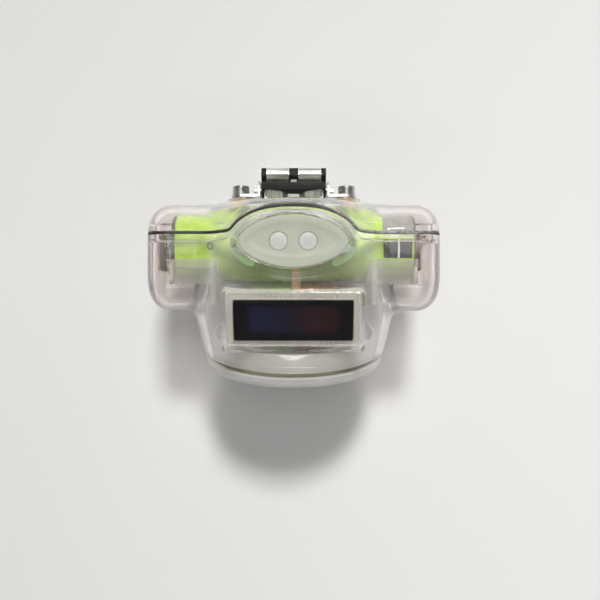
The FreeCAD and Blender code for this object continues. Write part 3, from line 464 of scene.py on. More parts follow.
P, Q = net(pad_f, (-14.2, -7.2, 20.2), (14.2, 7.2, 24.2), 0.16)
pad = fast_mesh("key_pad_moulding", P, Q)
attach(pad, "housing")
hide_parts("button_pad")


def lathe(name, prof, centre, seg=96, axis="z"):
    """Solid of revolution of (radius, height) points, from the axis round to the axis."""
    vs, fs = [], []
    ring = []
    for r, h in prof:
        if r < 1e-6:
            vs.append((0, 0, h))
            ring.append([len(vs) - 1] * seg)
        else:
            ring.append(list(range(len(vs), len(vs) + seg)))
            for k in range(seg):
                a = 2 * math.pi * k / seg
                vs.append((r * math.cos(a), r * math.sin(a), h))
    for i in range(len(ring) - 1):
        for k in range(seg):
            q = [ring[i][k], ring[i][(k + 1) % seg], ring[i + 1][(k + 1) % seg], ring[i + 1][k]]
            u = []
            for j in q:
                if j not in u:
                    u.append(j)
            if len(u) > 2:
                fs.append(u)
    v = np.array(vs)
    if axis == "y":
        v = v[:, [0, 2, 1]] * np.array([1, 1, -1])
    if axis == "x":
        v = v[:, [2, 1, 0]] * np.array([1, 1, -1])
    return add_mesh(name, v + np.array(centre), fs)


# heat sink with a domed back, on the lens axis
prof = [(0.0, -24.3)]
for k in range(1, 13):
    r = 12.2 * k / 12.0
    prof.append((r, -24.3 + 2.7 * (r / 12.6) ** 2))
prof += [(12.5, -21.6), (12.6, -21.3), (12.6, -16.5), (12.4, -16.2), (11.4, -16.2), (11.2, -16.4), (11.2, -19.2), (0.0, -19.2)]
ca, sa = math.cos(RING_TILT), math.sin(RING_TILT)
sink = lathe("domed_heat_sink", prof, (0, 0, 0))
me = sink.data
co = np.empty(len(me.vertices) * 3)
me.vertices.foreach_get("co", co)
co = co.reshape(-1, 3) * 1000.0 - OFF
co = np.stack([co[:, 0], RING_C[1] - co[:, 2] * ca - co[:, 1] * sa, RING_C[2] - co[:, 2] * sa + co[:, 1] * ca], 1)
me.vertices.foreach_set("co", ((co + OFF) / 1000.0).ravel())
me.update()
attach(sink, "housing")
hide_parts("heat_sink")

keys = []
for s, n in ((-1, "left"), (1, "right")):
    prof = [(0, PAD_TOP - 0.42)]
    for k in range(1, 11):
        r = KEY_R * k / 10.0
        prof.append((r, PAD_TOP - 0.42 - 0.10 * (r / KEY_R) ** 2 - (0.16 * max(0.0, (r / KEY_R - 0.7) / 0.3) ** 2.2)))
    prof += [(KEY_R, PAD_TOP - 0.85), (KEY_R, 19.6), (KEY_R - 0.2, 19.4), (0, 19.4)]
    k = lathe("key_cap_" + n, prof[::-1], (s * KEY_X, 0, 0))
    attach(k, "key_" + n)
    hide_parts("button_" + n)
    keys.append(k)


# ---- materials --------------------------------------------------------------------------
def new_mat(name):
    m = bpy.data.materials.new(name)
    m.use_nodes = True
    nt = m.node_tree
    nt.nodes.clear()
    return m, nt


def node(nt, kind, **kw):
    n = nt.nodes.new(kind)
    for k, v in kw.items():
        if k in n.inputs:
            n.inputs[k].default_value = v
        else:
            setattr(n, k, v)
    return n


def noise(nt, scale, detail=3.0, stretch=None, rough=0.5):
    """Noise on the piece's own coordinates, which are metres in the row frame."""
    co = nt.nodes.new("ShaderNodeTexCoord")
    mp = nt.nodes.new("ShaderNodeMapping")
    if stretch:
        mp.inputs["Scale"].default_value = stretch
    nt.links.new(co.outputs["Object"], mp.inputs["Vector"])
    n = nt.nodes.new("ShaderNodeTexNoise")
    n.inputs["Scale"].default_value = scale
    n.inputs["Detail"].default_value = detail
    n.inputs["Roughness"].default_value = rough
    nt.links.new(mp.outputs["Vector"], n.inputs["Vector"])
    return n.outputs["Fac"]


def ramp(nt, src, stops):
    r = nt.nodes.new("ShaderNodeValToRGB")
    el = r.color_ramp.elements
    while len(el) < len(stops):
        el.new(0.5)
    for e, (p, c) in zip(el, stops):
        e.position = p
        e.color = (c, c, c, 1.0) if not isinstance(c, tuple) else c + (1.0,) if len(c) == 3 else c
    nt.links.new(src, r.inputs["Fac"])
    return r.outputs["Color"]


def maprange(nt, src, a, b, c, d):
    m = nt.nodes.new("ShaderNodeMapRange")
    m.inputs["From Min"].default_value = a
    m.inputs["From Max"].default_value = b
    m.inputs["To Min"].default_value = c
    m.inputs["To Max"].default_value = d
    nt.links.new(src, m.inputs["Value"])
    return m.outputs["Result"]


def bump(nt, height, strength, dist=0.0001):
    b = nt.nodes.new("ShaderNodeBump")
    b.inputs["Strength"].default_value = strength
    b.inputs["Distance"].default_value = dist
    nt.links.new(height, b.inputs["Height"])
    return b.outputs["Normal"]


def principled(name, color, rough=(0.3, 0.45), scale=400.0, metallic=0.0, transmission=0.0, ior=1.5, stretch=None,
               tint=0.06, bumps=0.15, coat=0.0, subsurface=0.0, see_through=False, bump_dist=0.00003, spec=0.5, alpha=1.0):
    m, nt = new_mat(name)
    p = nt.nodes.new("ShaderNodeBsdfPrincipled")
    out = nt.nodes.new("ShaderNodeOutputMaterial")
    n = noise(nt, scale, 4.0, stretch)
    lo = tuple(max(0.0, c * (1 - tint)) for c in color)
    hi = tuple(min(1.0, c * (1 + tint)) for c in color)
    nt.links.new(ramp(nt, n, [(0.3, lo), (0.7, hi)]), p.inputs["Base Color"])
    nt.links.new(maprange(nt, n, 0.3, 0.7, rough[0], rough[1]), p.inputs["Roughness"])
    if bumps:
        nt.links.new(bump(nt, noise(nt, scale * 2.3, 3.0, stretch), bumps, bump_dist), p.inputs["Normal"])
    p.inputs["Metallic"].default_value = metallic
    p.inputs["Transmission Weight"].default_value = transmission
    p.inputs["IOR"].default_value = ior
    p.inputs["Specular IOR Level"].default_value = spec
    p.inputs["Coat Weight"].default_value = coat
    p.inputs["Coat Roughness"].default_value = 0.05
    if alpha < 1.0:
        p.inputs["Alpha"].default_value = alpha
    if subsurface:
        p.inputs["Subsurface Weight"].default_value = subsurface
        p.inputs["Subsurface Radius"].default_value = (0.004, 0.004, 0.004)
        p.inputs["Subsurface Scale"].default_value = 0.5
    last = p.outputs["BSDF"]
    if see_through:
        t = nt.nodes.new("ShaderNodeBsdfTransparent")
        t.inputs["Color"].default_value = see_through
        lp = nt.nodes.new("ShaderNodeLightPath")
        mx = nt.nodes.new("ShaderNodeMixShader")
        nt.links.new(lp.outputs["Is Shadow Ray"], mx.inputs["Fac"])
        nt.links.new(last, mx.inputs[1])
        nt.links.new(t.outputs["BSDF"], mx.inputs[2])
        last = mx.outputs["Shader"]
    nt.links.new(last, out.inputs["Surface"])
    m["p"] = p.name
    return m


def pos(nt):
    co = nt.nodes.new("ShaderNodeTexCoord")
    sp = nt.nodes.new("ShaderNodeSeparateXYZ")
    nt.links.new(co.outputs["Object"], sp.inputs["Vector"])
    return sp.outputs


def math_node(nt, op, a, b=None, c=None):
    n = nt.nodes.new("ShaderNodeMath")
    n.operation = op
    for i, v in enumerate((a, b, c)):
        if v is None:
            continue
        if isinstance(v, (int, float)):
            n.inputs[i].default_value = v
        else:
            nt.links.new(v, n.inputs[i])
    return n.outputs["Value"]


def band(nt, src, a, b, soft=0.0001):
    """1 between a and b (millimetres in the row frame), 0 outside."""
    lo = maprange(nt, src, a / 1000 - soft, a / 1000 + soft, 0.0, 1.0)
    hi = maprange(nt, src, b / 1000 - soft, b / 1000 + soft, 1.0, 0.0)
    return math_node(nt, "MULTIPLY", lo, hi)


def mixc(nt, fac, a, b):
    m = nt.nodes.new("ShaderNodeMix")
    m.data_type = "RGBA"
    nt.links.new(fac, m.inputs[0])
    for s, v in ((6, a), (7, b)):
        if isinstance(v, tuple):
            m.inputs[s].default_value = v + (1.0,)
        else:
            nt.links.new(v, m.inputs[s])
    return m.outputs[2]


def facing(nt, blend=0.35):
    lw = nt.nodes.new("ShaderNodeLayerWeight")
    lw.inputs["Blend"].default_value = blend
    return lw.outputs["Facing"]


def haze_mat(name, color, clear=(0.955, 0.62), rough=(0.012, 0.04), ior=1.31, scale=120.0, see=(0.65, 0.64, 0.63), window=False, cloud=0.06, bumps=0.04, painted_groove_shade=False, coat=0.0):
    """Clear plastic gone milky: the share that passes light falls towards grazing angles and in cloudy spots."""
    m, nt = new_mat(name)
    p = nt.nodes.new("ShaderNodeBsdfPrincipled")
    out = nt.nodes.new("ShaderNodeOutputMaterial")
    n = noise(nt, scale, 4.0)
    big = noise(nt, 55.0, 2.0)
    lo = tuple(c * 0.97 for c in color)
    hi = tuple(min(1.0, c * 1.02) for c in color)
    base = ramp(nt, n, [(0.3, lo), (0.7, hi)])
    if window:
        # the ends have yellowed to a faint pink
        ends = maprange(nt, math_node(nt, "ABSOLUTE", pos(nt)["X"]), 0.022, 0.036, 0.0, 1.0)
        base = mixc(nt, ends, base, tuple(c * k for c, k in zip(color, (1.0, 0.955, 0.945))))
    nt.links.new(base, p.inputs["Base Color"])
    t = maprange(nt, facing(nt), 0.0, 1.0, clear[0], clear[1])
    t = math_node(nt, "MULTIPLY", t, maprange(nt, big, 0.3, 0.7, 1.0, 1.0 - cloud))
    r = maprange(nt, n, 0.3, 0.7, rough[0], rough[1])
    if window:
        x, y, z = (pos(nt)[k] for k in ("X", "Y", "Z"))
        along = math_node(nt, "ADD", math_node(nt, "MULTIPLY", math_node(nt, "SUBTRACT", y, (DISP_C[1] + OFF[1]) / 1000), math.cos(DISP_TILT)),
                          math_node(nt, "MULTIPLY", math_node(nt, "SUBTRACT", z, (DISP_C[2] + OFF[2]) / 1000), math.sin(DISP_TILT)))
        up = math_node(nt, "SUBTRACT", math_node(nt, "MULTIPLY", math_node(nt, "SUBTRACT", z, (DISP_C[2] + OFF[2]) / 1000), math.cos(DISP_TILT)),
                       math_node(nt, "MULTIPLY", math_node(nt, "SUBTRACT", y, (DISP_C[1] + OFF[1]) / 1000), math.sin(DISP_TILT)))
        w = math_node(nt, "MULTIPLY", band(nt, x, -15.6, 15.6, 0.0004), band(nt, along, -5.9, 5.9, 0.0004))
        w = math_node(nt, "MULTIPLY", w, maprange(nt, up, -0.0027, -0.0024, 0.0, 1.0))
        t = math_node(nt, "MAXIMUM", t, w)
        r = math_node(nt, "MULTIPLY", r, maprange(nt, w, 0.0, 1.0, 1.0, 0.15))
    if painted_groove_shade:
        # painted shade: the recess behind the ring's flange is coloured dark olive and lets less light through,
        # standing in for the shadow there
        x, y, z = (pos(nt)[k] for k in ("X", "Y", "Z"))
        ry = math_node(nt, "SUBTRACT", y, (RING_C[1] + OFF[1]) / 1000)
        rz = math_node(nt, "SUBTRACT", z, (RING_C[2] + OFF[2]) / 1000)
        out_ = math_node(nt, "SUBTRACT", math_node(nt, "MULTIPLY", rz, -math.sin(RING_TILT)), math_node(nt, "MULTIPLY", ry, math.cos(RING_TILT)))
        g = band(nt, out_, -4.25, -2.75, 0.00008)
        dark = mixc(nt, g, (0.80, 0.79, 0.765), (0.24, 0.23, 0.17))
        for l in list(p.inputs["Base Color"].links):
            nt.links.remove(l)
        spk = ramp(nt, n, [(0.3, (0.94, 0.94, 0.94)), (0.7, (1.0, 1.0, 1.0))])
        mul = nt.nodes.new("ShaderNodeMix")
        mul.data_type = "RGBA"
        mul.blend_type = "MULTIPLY"
        mul.inputs[0].default_value = 1.0
        nt.links.new(dark, mul.inputs[6])
        nt.links.new(spk, mul.inputs[7])
        nt.links.new(mul.outputs[2], p.inputs["Base Color"])
        t = math_node(nt, "MULTIPLY", t, maprange(nt, g, 0.0, 1.0, 1.0, 0.3))
    nt.links.new(t, p.inputs["Transmission Weight"])
    nt.links.new(r, p.inputs["Roughness"])
    nt.links.new(bump(nt, noise(nt, scale * 2.3, 3.0), bumps, 0.00004), p.inputs["Normal"])
    p.inputs["IOR"].default_value = ior
    p.inputs["Coat Weight"].default_value = coat
    p.inputs["Coat Roughness"].default_value = 0.03
    p.inputs["Coat IOR"].default_value = 1.45
    tr = nt.nodes.new("ShaderNodeBsdfTransparent")
    tr.inputs["Color"].default_value = see + (1.0,)
    lp = nt.nodes.new("ShaderNodeLightPath")
    mx = nt.nodes.new("ShaderNodeMixShader")
    nt.links.new(lp.outputs["Is Shadow Ray"], mx.inputs["Fac"])
    nt.links.new(p.outputs["BSDF"], mx.inputs[1])
    nt.links.new(tr.outputs["BSDF"], mx.inputs[2])
    nt.links.new(mx.outputs["Shader"], out.inputs["Surface"])
    return m


M = {}
M["clear"] = haze_mat("clear_shell", (0.94, 0.93, 0.92), clear=(0.982, 0.52), cloud=0.03, ior=1.25, window=True, coat=0.4)
M["frame"] = haze_mat("clear_frame", (0.80, 0.79, 0.74), clear=(0.80, 0.4), rough=(0.05, 0.1), ior=1.4, scale=260.0, see=(0.85, 0.85, 0.84))
# the milky ring carries the painted shade behind its flange
M["ring"] = haze_mat("milky_ring", (0.80, 0.79, 0.765), clear=(0.60, 0.25), rough=(0.10, 0.18), ior=1.42, scale=220.0, see=(0.62, 0.61, 0.60), painted_groove_shade=True)
M["lens"] = haze_mat("lens_window", (0.95, 0.95, 0.95), clear=(0.97, 0.85), rough=(0.01, 0.03), ior=1.49, scale=120.0, see=(0.93, 0.93, 0.93), cloud=0.0, bumps=0.02)
M["cradle"] = haze_mat("cradle", (0.92, 0.92, 0.88), clear=(0.84, 0.15), rough=(0.02, 0.05), ior=1.22, scale=200.0, see=(0.95, 0.95, 0.93))
M["silicone"] = haze_mat("silicone", (0.56, 0.575, 0.49), clear=(0.34, 0.15), rough=(0.34, 0.46), ior=1.38, scale=260.0, see=(0.72, 0.76, 0.66), cloud=0.25, bumps=0.08)
M["key"] = haze_mat("silicone_key", (0.69, 0.69, 0.66), clear=(0.20, 0.08), rough=(0.34, 0.44), ior=1.38, scale=260.0, see=(0.5, 0.52, 0.48), bumps=0.10)
M["rubber"] = principled("seal_rubber", (0.018, 0.018, 0.02), rough=(0.35, 0.6), scale=900.0, tint=0.3, bumps=0.3)
M["steel"] = principled("bright_steel", (0.66, 0.655, 0.64), rough=(0.16, 0.34), scale=700.0, metallic=1.0, stretch=(0.25, 1.0, 1.0), tint=0.12, bumps=0.12)
M["nickel"] = principled("satin_nickel", (0.93, 0.93, 0.92), rough=(0.28, 0.42), scale=800.0, metallic=0.0, tint=0.08, bumps=0.12)
M["screw"] = principled("screw_steel", (0.48, 0.47, 0.45), rough=(0.24, 0.42), scale=900.0, metallic=1.0, tint=0.25, bumps=0.25)
M["brass"] = principled("insert_brass", (0.52, 0.32, 0.09), rough=(0.3, 0.45), scale=800.0, metallic=0.35, tint=0.3, bumps=0.2)
M["satin"] = principled("satin_steel", (0.70, 0.69, 0.675), rough=(0.30, 0.42), scale=700.0, metallic=1.0, stretch=(0.25, 1.0, 1.0), tint=0.12, bumps=0.12)
M["plate"] = principled("contact_metal", (0.50, 0.42, 0.36), rough=(0.25, 0.4), scale=500.0, metallic=0.9, tint=0.12, bumps=0.1)
M["copper"] = principled("copper_film", (0.26, 0.12, 0.035), rough=(0.3, 0.45), scale=500.0, tint=0.15, bumps=0.08, coat=0.4)
M["black"] = principled("black_moulding", (0.03, 0.03, 0.032), rough=(0.35, 0.5), scale=600.0, tint=0.2, bumps=0.2)
M["alu"] = principled("aluminium", (0.62, 0.60, 0.57), rough=(0.25, 0.38), scale=500.0, metallic=1.0, tint=0.06, bumps=0.12)
M["green_board"] = principled("green_board", (0.24, 0.43, 0.10), rough=(0.3, 0.42), scale=420.0, tint=0.12, bumps=0.1, coat=0.3)
M["led"] = principled("led_phosphor", (0.86, 0.76, 0.30), rough=(0.15, 0.25), scale=600.0, tint=0.05, bumps=0.05, coat=0.8)
M["can"] = principled("cell_can", (0.62, 0.61, 0.60), rough=(0.22, 0.36), scale=500.0, metallic=1.0, tint=0.08, bumps=0.1)
M["tact"] = principled("switch_body", (0.55, 0.55, 0.53), rough=(0.35, 0.5), scale=600.0, tint=0.08, bumps=0.15)


def link_mat():
    """Blackened plate, with light patches on the middle tongue and on a spot by the middle lug."""
    m, nt = new_mat("dark_steel")
    p = nt.nodes.new("ShaderNodeBsdfPrincipled")
    out = nt.nodes.new("ShaderNodeOutputMaterial")
    x, y, z = (pos(nt)[k] for k in ("X", "Y", "Z"))
    n = noise(nt, 600.0, 4.0, (0.25, 1.0, 1.0))
    tongue = math_node(nt, "MULTIPLY", band(nt, x, -1.55, 1.5, 0.00005), band(nt, y, 20.3, 21.75, 0.00008))
    spot = math_node(nt, "MULTIPLY", band(nt, x, -0.75, 0.8, 0.00005), band(nt, y, 25.0, 25.55, 0.00005))
    light_patches = math_node(nt, "MAXIMUM", tongue, spot)
    dark = ramp(nt, n, [(0.3, (0.006, 0.006, 0.0055)), (0.7, (0.013, 0.0125, 0.012))])
    nt.links.new(mixc(nt, light_patches, dark, (0.80, 0.79, 0.77)), p.inputs["Base Color"])
    nt.links.new(math_node(nt, "MULTIPLY", light_patches, 0.5), p.inputs["Metallic"])
    nt.links.new(maprange(nt, n, 0.3, 0.7, 0.42, 0.6), p.inputs["Roughness"])
    nt.links.new(bump(nt, n, 0.12, 0.00003), p.inputs["Normal"])
    p.inputs["Specular IOR Level"].default_value = 0.15
    nt.links.new(p.outputs["BSDF"], out.inputs["Surface"])
    return m


def gasket_mat():
    """Black rubber line, dusted with light release powder along its right half."""
    m, nt = new_mat("gasket_rubber")
    p = nt.nodes.new("ShaderNodeBsdfPrincipled")
    out = nt.nodes.new("ShaderNodeOutputMaterial")
    x, y, z = (pos(nt)[k] for k in ("X", "Y", "Z"))
    n = noise(nt, 900.0, 4.0)
    speck = noise(nt, 2600.0, 2.0, (0.5, 1.0, 1.0))
    right = math_node(nt, "MULTIPLY", maprange(nt, x, 0.004, 0.022, 0.0, 1.0), maprange(nt, x, 0.033, 0.037, 1.0, 0.25))
    fac = math_node(nt, "MULTIPLY", right, maprange(nt, speck, 0.40, 0.58, 0.15, 0.95))
    col = mixc(nt, fac, ramp(nt, n, [(0.3, (0.012, 0.012, 0.013)), (0.7, (0.024, 0.024, 0.026))]), (0.42, 0.43, 0.43))
    nt.links.new(col, p.inputs["Base Color"])
    nt.links.new(maprange(nt, n, 0.3, 0.7, 0.35, 0.6), p.inputs["Roughness"])
    nt.links.new(bump(nt, n, 0.3, 0.00003), p.inputs["Normal"])
    nt.links.new(p.outputs["BSDF"], out.inputs["Surface"])
    return m


def sink_mat():
    """Anodised dish: green-grey left, copper-brown right."""
    m, nt = new_mat("heat_sink")
    p = nt.nodes.new("ShaderNodeBsdfPrincipled")
    out = nt.nodes.new("ShaderNodeOutputMaterial")
    x, y, z = (pos(nt)[k] for k in ("X", "Y", "Z"))
    n = noise(nt, 500.0, 4.0)
    side = maprange(nt, x, 0.0005, 0.0018, 0.0, 1.0)
    col = mixc(nt, side, (0.66, 0.80, 0.36), (0.80, 0.33, 0.13))
    col = mixc(nt, maprange(nt, n, 0.35, 0.65, 0.0, 0.14), col, (0.55, 0.48, 0.38))
    nt.links.new(col, p.inputs["Base Color"])
    nt.links.new(maprange(nt, n, 0.3, 0.7, 0.22, 0.34), p.inputs["Roughness"])
    nt.links.new(bump(nt, n, 0.1, 0.00003), p.inputs["Normal"])
    p.inputs["Metallic"].default_value = 0.05
    nt.links.new(p.outputs["BSDF"], out.inputs["Surface"])
    return m


def reflector_mat():
    """Plated cup: bright inside, brown lacquer with a greenish left half on its back."""
    m, nt = new_mat("reflector")
    p = nt.nodes.new("ShaderNodeBsdfPrincipled")
    out = nt.nodes.new("ShaderNodeOutputMaterial")
    x, y, z = (pos(nt)[k] for k in ("X", "Y", "Z"))
    n = noise(nt, 260.0, 3.0)
    g = nt.nodes.new("ShaderNodeNewGeometry")
    sep = nt.nodes.new("ShaderNodeSeparateXYZ")
    nt.links.new(g.outputs["Normal"], sep.inputs["Vector"])
    back = maprange(nt, sep.outputs["Y"], -0.05, 0.10, 0.0, 1.0)
    side = maprange(nt, x, -0.001, 0.0015, 0.0, 1.0)
    rear = mixc(nt, side, (0.30, 0.36, 0.22), (0.26, 0.15, 0.085))
    rear = mixc(nt, maprange(nt, n, 0.35, 0.65, 0.0, 0.35), rear, (0.52, 0.46, 0.36))
    ry = math_node(nt, "SUBTRACT", y, (RING_C[1] + OFF[1]) / 1000)
    rz = math_node(nt, "SUBTRACT", z, (RING_C[2] + OFF[2]) / 1000)
    out_ = math_node(nt, "SUBTRACT", math_node(nt, "MULTIPLY", rz, -math.sin(RING_TILT)), math_node(nt, "MULTIPLY", ry, math.cos(RING_TILT)))
    rim = maprange(nt, out_, -0.0082, -0.0076, 0.0, 1.0)
    rear = mixc(nt, rim, rear, (0.90, 0.89, 0.87))
    col = mixc(nt, back, (0.76, 0.77, 0.76), rear)
    nt.links.new(col, p.inputs["Base Color"])
    nt.links.new(maprange(nt, n, 0.3, 0.7, 0.10, 0.20), p.inputs["Roughness"])
    nt.links.new(maprange(nt, back, 0.0, 1.0, 1.0, 0.35), p.inputs["Metallic"])
    nt.links.new(bump(nt, n, 0.05, 0.00003), p.inputs["Normal"])
    nt.links.new(p.outputs["BSDF"], out.inputs["Surface"])
    return m


def board_mat():
    """Pale board with solder marks along the two long edges of the display."""
    m, nt = new_mat("circuit_board")
    p = nt.nodes.new("ShaderNodeBsdfPrincipled")
    out = nt.nodes.new("ShaderNodeOutputMaterial")
    x, y, z = (pos(nt)[k] for k in ("X", "Y", "Z"))
    n = noise(nt, 420.0, 4.0)
    col = ramp(nt, n, [(0.3, (0.52, 0.50, 0.42)), (0.7, (0.64, 0.62, 0.54))])
    w = math_node(nt, "FRACT", math_node(nt, "MULTIPLY", x, 1000 / 1.27))
    pins = math_node(nt, "MULTIPLY", maprange(nt, w, 0.30, 0.36, 0.0, 1.0), maprange(nt, w, 0.74, 0.80, 1.0, 0.0))
    rows = math_node(nt, "MAXIMUM", band(nt, y, -5.4, -4.7, 0.00006), band(nt, y, -17.2, -16.75, 0.00006))
    spots = maprange(nt, noise(nt, 700.0, 2.0, (1.0, 0.3, 0.3)), 0.42, 0.52, 0.0, 1.0)
    fac = math_node(nt, "MULTIPLY", math_node(nt, "MULTIPLY", math_node(nt, "MULTIPLY", pins, rows), spots), band(nt, x, -9.5, 12.5, 0.0005))
    col = mixc(nt, fac, col, (0.16, 0.06, 0.04))
    nt.links.new(col, p.inputs["Base Color"])
    nt.links.new(maprange(nt, n, 0.3, 0.7, 0.35, 0.5), p.inputs["Roughness"])
    nt.links.new(bump(nt, n, 0.12, 0.00003), p.inputs["Normal"])
    nt.links.new(p.outputs["BSDF"], out.inputs["Surface"])
    return m


def sleeve_mat():
    m, nt = new_mat("cell_sleeve")
    p = nt.nodes.new("ShaderNodeBsdfPrincipled")
    out = nt.nodes.new("ShaderNodeOutputMaterial")
    x, y, z = (pos(nt)[k] for k in ("X", "Y", "Z"))
    n = noise(nt, 300.0, 4.0)
    col = ramp(nt, n, [(0.3, (0.36, 0.56, 0.03)), (0.7, (0.42, 0.63, 0.04))])
    oy, oz = OFF[1], OFF[2]
    # dark printed block near the plus end, with a thin light line in it
    blk = math_node(nt, "MULTIPLY", band(nt, x, 23.4, 31.4), band(nt, y, oy - 3.4, oy + 1.6))
    blk = math_node(nt, "MULTIPLY", blk, maprange(nt, z, oz / 1000, oz / 1000 + 0.0002, 0.0, 1.0))
    col = mixc(nt, blk, col, (0.008, 0.008, 0.009))
    grey = math_node(nt, "MULTIPLY", band(nt, x, 23.4, 32.0), band(nt, y, oy + 2.2, oy + 9.5))
    col = mixc(nt, grey, col, (0.27, 0.27, 0.26))
    line = math_node(nt, "MULTIPLY", band(nt, x, 27.6, 28.1, 0.00005), blk)
    col = mixc(nt, line, col, (0.75, 0.78, 0.70))
    # end rings of the sleeve
    ends = math_node(nt, "MAXIMUM", band(nt, x, -33.5, -31.5), band(nt, x, 31.9, 33.5))
    col = mixc(nt, ends, col, (0.05, 0.055, 0.05))
    # polarity mark: a ring with a bar
    dx = math_node(nt, "SUBTRACT", x, -0.0213)
    dy = math_node(nt, "SUBTRACT", y, (oy - 0.3) / 1000)
    rr = math_node(nt, "SQRT", math_node(nt, "ADD", math_node(nt, "MULTIPLY", dx, dx), math_node(nt, "MULTIPLY", dy, dy)))
    ringm = band(nt, rr, 0.60, 1.02, 0.00004)
    bar = math_node(nt, "MULTIPLY", band(nt, dx, -0.45, 0.45, 0.00004), band(nt, dy, -0.1, 0.1, 0.00004))
    mark = math_node(nt, "MULTIPLY", math_node(nt, "MAXIMUM", ringm, bar), maprange(nt, z, oz / 1000, oz / 1000 + 0.0002, 0.0, 1.0))
    col = mixc(nt, mark, col, (0.04, 0.05, 0.02))
    nt.links.new(col, p.inputs["Base Color"])
    nt.links.new(maprange(nt, n, 0.3, 0.7, 0.22, 0.34), p.inputs["Roughness"])
    nt.links.new(bump(nt, noise(nt, 220.0, 2.0, (0.3, 1, 1)), 0.15, 0.00005), p.inputs["Normal"])
    p.inputs["Coat Weight"].default_value = 0.4
    nt.links.new(p.outputs["BSDF"], out.inputs["Surface"])
    return m


def display_mat():
    m, nt = new_mat("display_black_glass")
    p = nt.nodes.new("ShaderNodeBsdfPrincipled")
    out = nt.nodes.new("ShaderNodeOutputMaterial")
    x, y, z = (pos(nt)[k] for k in ("X", "Y", "Z"))
    n = noise(nt, 90.0, 2.0)
    edge = (0.004, 0.004, 0.005)
    xx = math_node(nt, "ADD", x, math_node(nt, "MULTIPLY", math_node(nt, "SUBTRACT", n, 0.5), 0.010))
    t = maprange(nt, xx, -0.009, 0.011, 0.0, 1.0)
    tint = ramp(nt, t, [(0.0, (0.010, 0.011, 0.030)), (0.45, (0.011, 0.009, 0.018)), (0.75, (0.026, 0.010, 0.012)), (1.0, (0.016, 0.007, 0.009))])
    oy = OFF[1]
    act = math_node(nt, "MULTIPLY", band(nt, x, -11.2, 11.4, 0.0009), band(nt, y, oy - 22.4, oy - 16.0, 0.0007))
    col = mixc(nt, act, edge, tint)
    nt.links.new(col, p.inputs["Base Color"])
    nt.links.new(maprange(nt, n, 0.3, 0.7, 0.03, 0.08), p.inputs["Roughness"])
    p.inputs["IOR"].default_value = 1.52
    p.inputs["Specular IOR Level"].default_value = 0.25
    nt.links.new(p.outputs["BSDF"], out.inputs["Surface"])
    return m


M["sleeve"] = sleeve_mat()
M["display"] = display_mat()
M["reflector"] = reflector_mat()
M["sink"] = sink_mat()
M["gasket"] = gasket_mat()
M["dark_steel"] = link_mat()
M["board"] = board_mat()


def paint(ob, mat):
    me = ob.data
    if len(me.materials) == 0:
        me.materials.append(mat)
    for i in range(len(ob.material_slots)):
        ob.material_slots[i].link = "OBJECT"
        ob.material_slots[i].material = mat


USE = {
    "lens_bezel_ring": "ring", "front_lens": "lens", "lens_seal": "rubber", "reflector": "reflector", "led_board": "alu", "led_emitter": "led", "heat_sink": "alu",
    "display_glass": "display", "display_frame": "frame", "display_board": "board", "display_socket": "black", "display_ribbon": "copper",
    "button_pad": "silicone", "button_left": "key", "button_right": "key", "switch_plunger_left": "black", "switch_plunger_right": "black", "tact_switches": "tact",
    "button_board": "green_board", "button_flex": "copper", "key_board_screws": "screw", "battery_cell": "can", "battery_sleeve": "sleeve", "battery_cradle": "cradle",
    "contact_plate_plus": "plate", "contact_plate_minus": "plate", "contact_spring": "steel", "lead_strip_minus": "plate", "lead_strip_plus": "plate",
    "main_board": "board", "board_parts": "black", "board_screws": "screw", "brass_inserts": "brass", "clip_screws": "screw", "housing_screws": "screw",
    "yoke_bracket": "steel", "main_pin": "steel", "pivot_bushes": "nickel", "torsion_spring": "nickel", "link_plate": "dark_steel", "knuckle_pin": "steel", "hook_blade": "satin",
}
for n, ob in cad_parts.items():
    if n in USE:
        paint(ob, M[USE[n]])
paint(front_shell, M["clear"])
paint(rear_shell, M["clear"])
paint(gasket, M["gasket"])
paint(pad, M["silicone"])
paint(sink, M["sink"])
for k in keys:
    paint(k, M["key"])


# ---- floor, light, camera ------------------------------------------------------------------
def floor_mat():
    m, nt = new_mat("floor")
    p = nt.nodes.new("ShaderNodeBsdfPrincipled")
    out = nt.nodes.new("ShaderNodeOutputMaterial")
    n = noise(nt, 3.0, 3.0)
    paper = ramp(nt, n, [(0.3, (0.965, 0.965, 0.965)), (0.7, (1.0, 1.0, 1.0))])
    # painted light: the floor is coloured darker to the left and lighter to the right, standing in for light falling
    # off across it
    painted_light_x = mixc(nt, maprange(nt, pos(nt)["X"], -0.09, 0.09, 0.0, 1.0), (0.80, 0.797, 0.788), (0.895, 0.893, 0.885))
    mul = nt.nodes.new("ShaderNodeMix")
    mul.data_type = "RGBA"
    mul.blend_type = "MULTIPLY"
    mul.inputs[0].default_value = 1.0
    nt.links.new(paper, mul.inputs[6])
    # painted light: the floor is also coloured darker towards the back (+Y), standing in for light falling off there
    back = mixc(nt, maprange(nt, pos(nt)["Y"], 0.0, 0.085, 0.0, 1.0), (1.0, 1.0, 1.0), (0.925, 0.925, 0.92))
    mul2 = nt.nodes.new("ShaderNodeMix")
    mul2.data_type = "RGBA"
    mul2.blend_type = "MULTIPLY"
    mul2.inputs[0].default_value = 1.0
    nt.links.new(painted_light_x, mul2.inputs[6])
    nt.links.new(back, mul2.inputs[7])
    nt.links.new(mul2.outputs[2], mul.inputs[7])
    nt.links.new(mul.outputs[2], p.inputs["Base Color"])
    p.inputs["Roughness"].default_value = 0.85
    nt.links.new(p.outputs["BSDF"], out.inputs["Surface"])
    return m


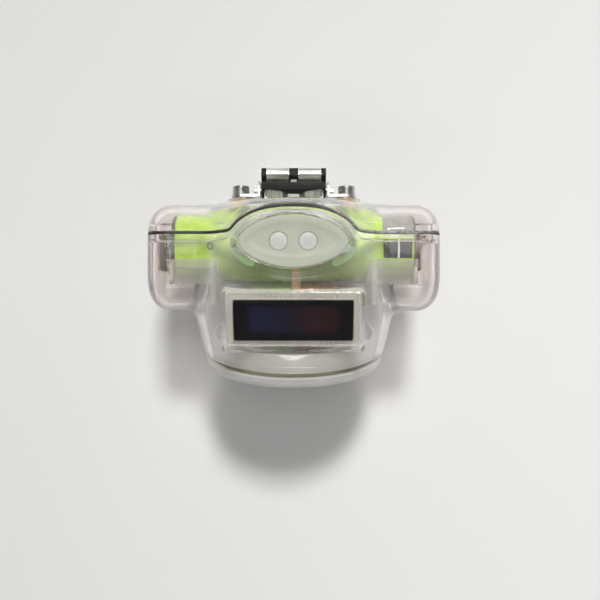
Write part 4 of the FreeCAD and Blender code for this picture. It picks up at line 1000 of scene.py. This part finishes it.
me = bpy.data.meshes.new("floor")
me.from_pydata([(-3, -3, 0), (3, -3, 0), (3, 3, 0), (-3, 3, 0)], [], [(0, 1, 2, 3)])
floor = bpy.data.objects.new("floor", me)
bpy.context.scene.collection.objects.link(floor)
paint(floor, floor_mat())

world = bpy.data.worlds.new("studio")
bpy.context.scene.world = world
world.use_nodes = True
wt = world.node_tree
bg = wt.nodes.get("Background")
tc = wt.nodes.new("ShaderNodeTexCoord")
sz = wt.nodes.new("ShaderNodeSeparateXYZ")
wt.links.new(tc.outputs["Generated"], sz.inputs["Vector"])
rp = wt.nodes.new("ShaderNodeValToRGB")
rp.color_ramp.elements[0].position, rp.color_ramp.elements[0].color = 0.0, (0.62, 0.617, 0.61, 1.0)
rp.color_ramp.elements[1].position, rp.color_ramp.elements[1].color = 0.95, (0.10, 0.10, 0.10, 1.0)
wt.links.new(sz.outputs["Z"], rp.inputs["Fac"])
wt.links.new(rp.outputs["Color"], bg.inputs["Color"])
bg.inputs["Strength"].default_value = 0.72


def area(name, loc, target, size, power, color=(1, 1, 1)):
    l = bpy.data.lights.new(name, "AREA")
    l.shape = "RECTANGLE"
    l.size, l.size_y = size
    l.energy = power
    l.color = color
    o = bpy.data.objects.new(name, l)
    o.location = loc
    d = np.array(target) - np.array(loc)
    from mathutils import Vector
    o.rotation_euler = Vector(d).to_track_quat("-Z", "Y").to_euler()
    bpy.context.scene.collection.objects.link(o)
    return o


area("key", (0.135, 1.12, 1.54), (0, 0, 0.02), (0.31, 0.26), 28.6, (1.0, 0.995, 0.985))
area("fill", (0.02, -0.80, 1.00), (0, 0, 0.02), (1.3, 0.06), 1.8, (0.98, 0.99, 1.0))
area("top", (0.0, 0.26, 1.22), (0, 0, 0.02), (0.55, 0.36), 1.3, (1.0, 1.0, 1.0))

cam = bpy.data.cameras.new("camera")
cam.angle = math.radians(45.24)
cam.clip_start = 0.01
co = bpy.data.objects.new("camera", cam)
co.location = ((1.67 + OFF[0]) / 1000, (-14.5 + OFF[1]) / 1000, (200 + OFF[2]) / 1000)
co.rotation_euler = (0, 0, 0)
bpy.context.scene.collection.objects.link(co)
bpy.context.scene.camera = co
bpy.context.scene.view_settings.view_transform = "Standard"
bpy.context.scene.view_settings.look = "None"
